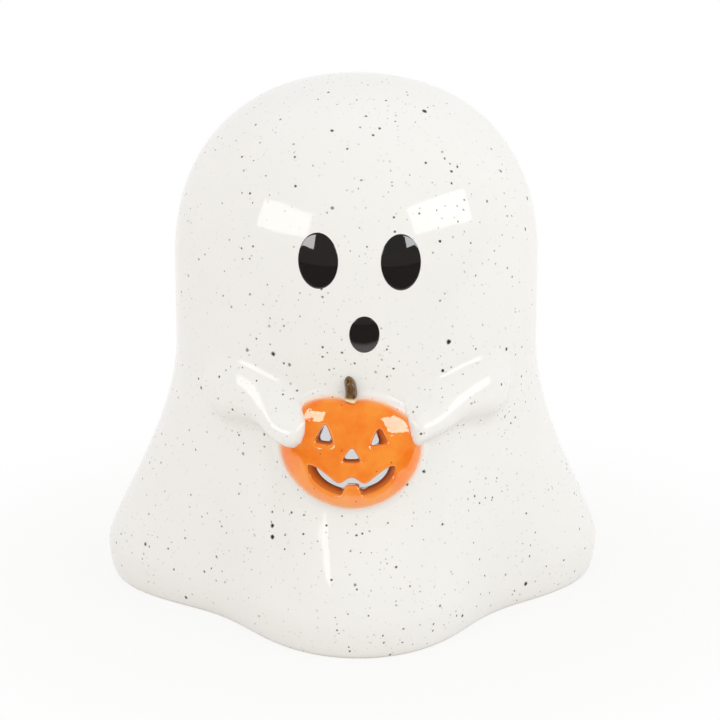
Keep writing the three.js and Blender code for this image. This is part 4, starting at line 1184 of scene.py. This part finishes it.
# Matt paper: near white, lifted to plain white away from the object's shadow. In reflections its front is painted
# grey, for the dark of the room. Right behind the object, where the cuts show it, a painted shade turns its glow
# down.
def sweepPaper(add, inMm):
    s = studio
    forward = add("SeparateXYZ", {0: inMm}).outputs["Y"]
    ahead = add("MapRange", {"Value": forward, "From Min": s["greyFrom"], "From Max": s["greyTo"]},
                interpolation_type="SMOOTHSTEP")
    light = add("LightPath")
    # painted reflection: gloss sees the floor in front grey, for the dark of the room
    dimmed = add("Math", {0: ahead, 1: light.outputs["Is Glossy Ray"]}, operation="MULTIPLY")
    tone = add("Mix", {"Factor": dimmed, "A": s["floorWhite"], "B": s["floorGrey"]}, data_type="RGBA")
    matt = add("BsdfDiffuse", {"Color": tone})
    # painted shade: the glow is turned down in an ellipse right behind the object
    fromShade = add("VectorMath", {0: inMm, 1: s["shadePlace"]}, operation="SUBTRACT")
    shortened = add("VectorMath", {0: fromShade, 1: (1, s["shadeStretch"], 1)}, operation="MULTIPLY")
    outOfShade = add("VectorMath", {0: shortened}, operation="LENGTH")
    glowing = add("MapRange", {"Value": outOfShade, "From Min": s["shadeFrom"], "From Max": s["shadeTo"],
                               "To Min": s["shade"]}, interpolation_type="SMOOTHSTEP")
    glow = add("Emission", {"Color": (1, 1, 1, 1), "Strength": glowing})
    away = add("VectorMath", {0: inMm}, operation="LENGTH")
    far = add("MapRange", {"Value": away, "From Min": s["glowWithin"], "From Max": s["glowBeyond"],
                           "To Min": s["floorGlow"]}, interpolation_type="SMOOTHSTEP")
    bright = add("Math", {0: 1.0, 1: dimmed}, operation="SUBTRACT")
    lifted = add("Math", {0: far, 1: bright}, operation="MULTIPLY")
    share = add("Math", {0: lifted, 1: shownRays(add, light)}, operation="MULTIPLY")
    return add("MixShader", {0: share, 1: matt, 2: glow})


floor = floorSweep()
dress("matt_paper_sweep", sweepPaper, floor)

for name, around, up, lean, wide, high, lit, shown, colour in studio["boxes"]:
    a, e = np.radians(around), np.radians(up)
    way = np.array([np.sin(a) * np.cos(e), -np.cos(a) * np.cos(e), np.sin(e)])
    width, height = (2 * studio["boxDistance"] * np.tan(np.radians(s) / 2) * metres for s in (wide, high))
    for part, strength in (("light", lit), ("glint", shown)):
        lamp = bpy.data.objects.new(name + "_" + part, bpy.data.lights.new(name + "_" + part, "AREA"))
        lamp.data.shape, lamp.data.size, lamp.data.size_y = "RECTANGLE", width, height
        lamp.data.energy = 4 * strength * width * height
        lamp.data.color = colour
        lamp.data.cycles.use_multiple_importance_sampling = part == "glint"
        lamp.location = Vector((np.array([0, 0, studio["boxAim"]]) + way * studio["boxDistance"]) * metres)
        facing = Vector(way).to_track_quat("Z", "Y")
        lamp.rotation_euler = (facing @ Quaternion((0, 0, 1), np.radians(lean))).to_euler()
        lamp.visible_camera = False
        lamp.visible_diffuse = part == "light"
        lamp.visible_glossy = part == "glint"
        scene.collection.objects.link(lamp)

# Room: the camera sees it white. Gloss shows it dim in front and as bright as the sweep behind. What lights the
# object is level walls, and a ceiling a little dimmer.
world = bpy.data.worlds.new("studio_room")
scene.world = world
world.use_nodes = True
add = partial(addNode, world.node_tree)
light = add("LightPath")
direction = add("SeparateXYZ", {0: add("TexCoord").outputs["Generated"]})
backdrop = add("MapRange", {"Value": direction.outputs["Y"], "From Min": studio["roomFrom"],
                            "From Max": studio["roomTo"], "To Min": studio["room"]}, interpolation_type="SMOOTHSTEP")
shownRoom = add("Math", {0: backdrop, 1: light.outputs["Is Camera Ray"]}, operation="MAXIMUM")
walls, ceiling = studio["ambient"]
ambient = add("MapRange", {"Value": direction.outputs["Z"], "To Min": walls, "To Max": ceiling})
level = add("MapRange", {"Value": shownRays(add, light), "To Min": ambient, "To Max": shownRoom})
background = world.node_tree.nodes["Background"]
background.inputs["Color"].default_value = studio["roomColour"]
world.node_tree.links.new(level.outputs[0], background.inputs["Strength"])
print("studio made")
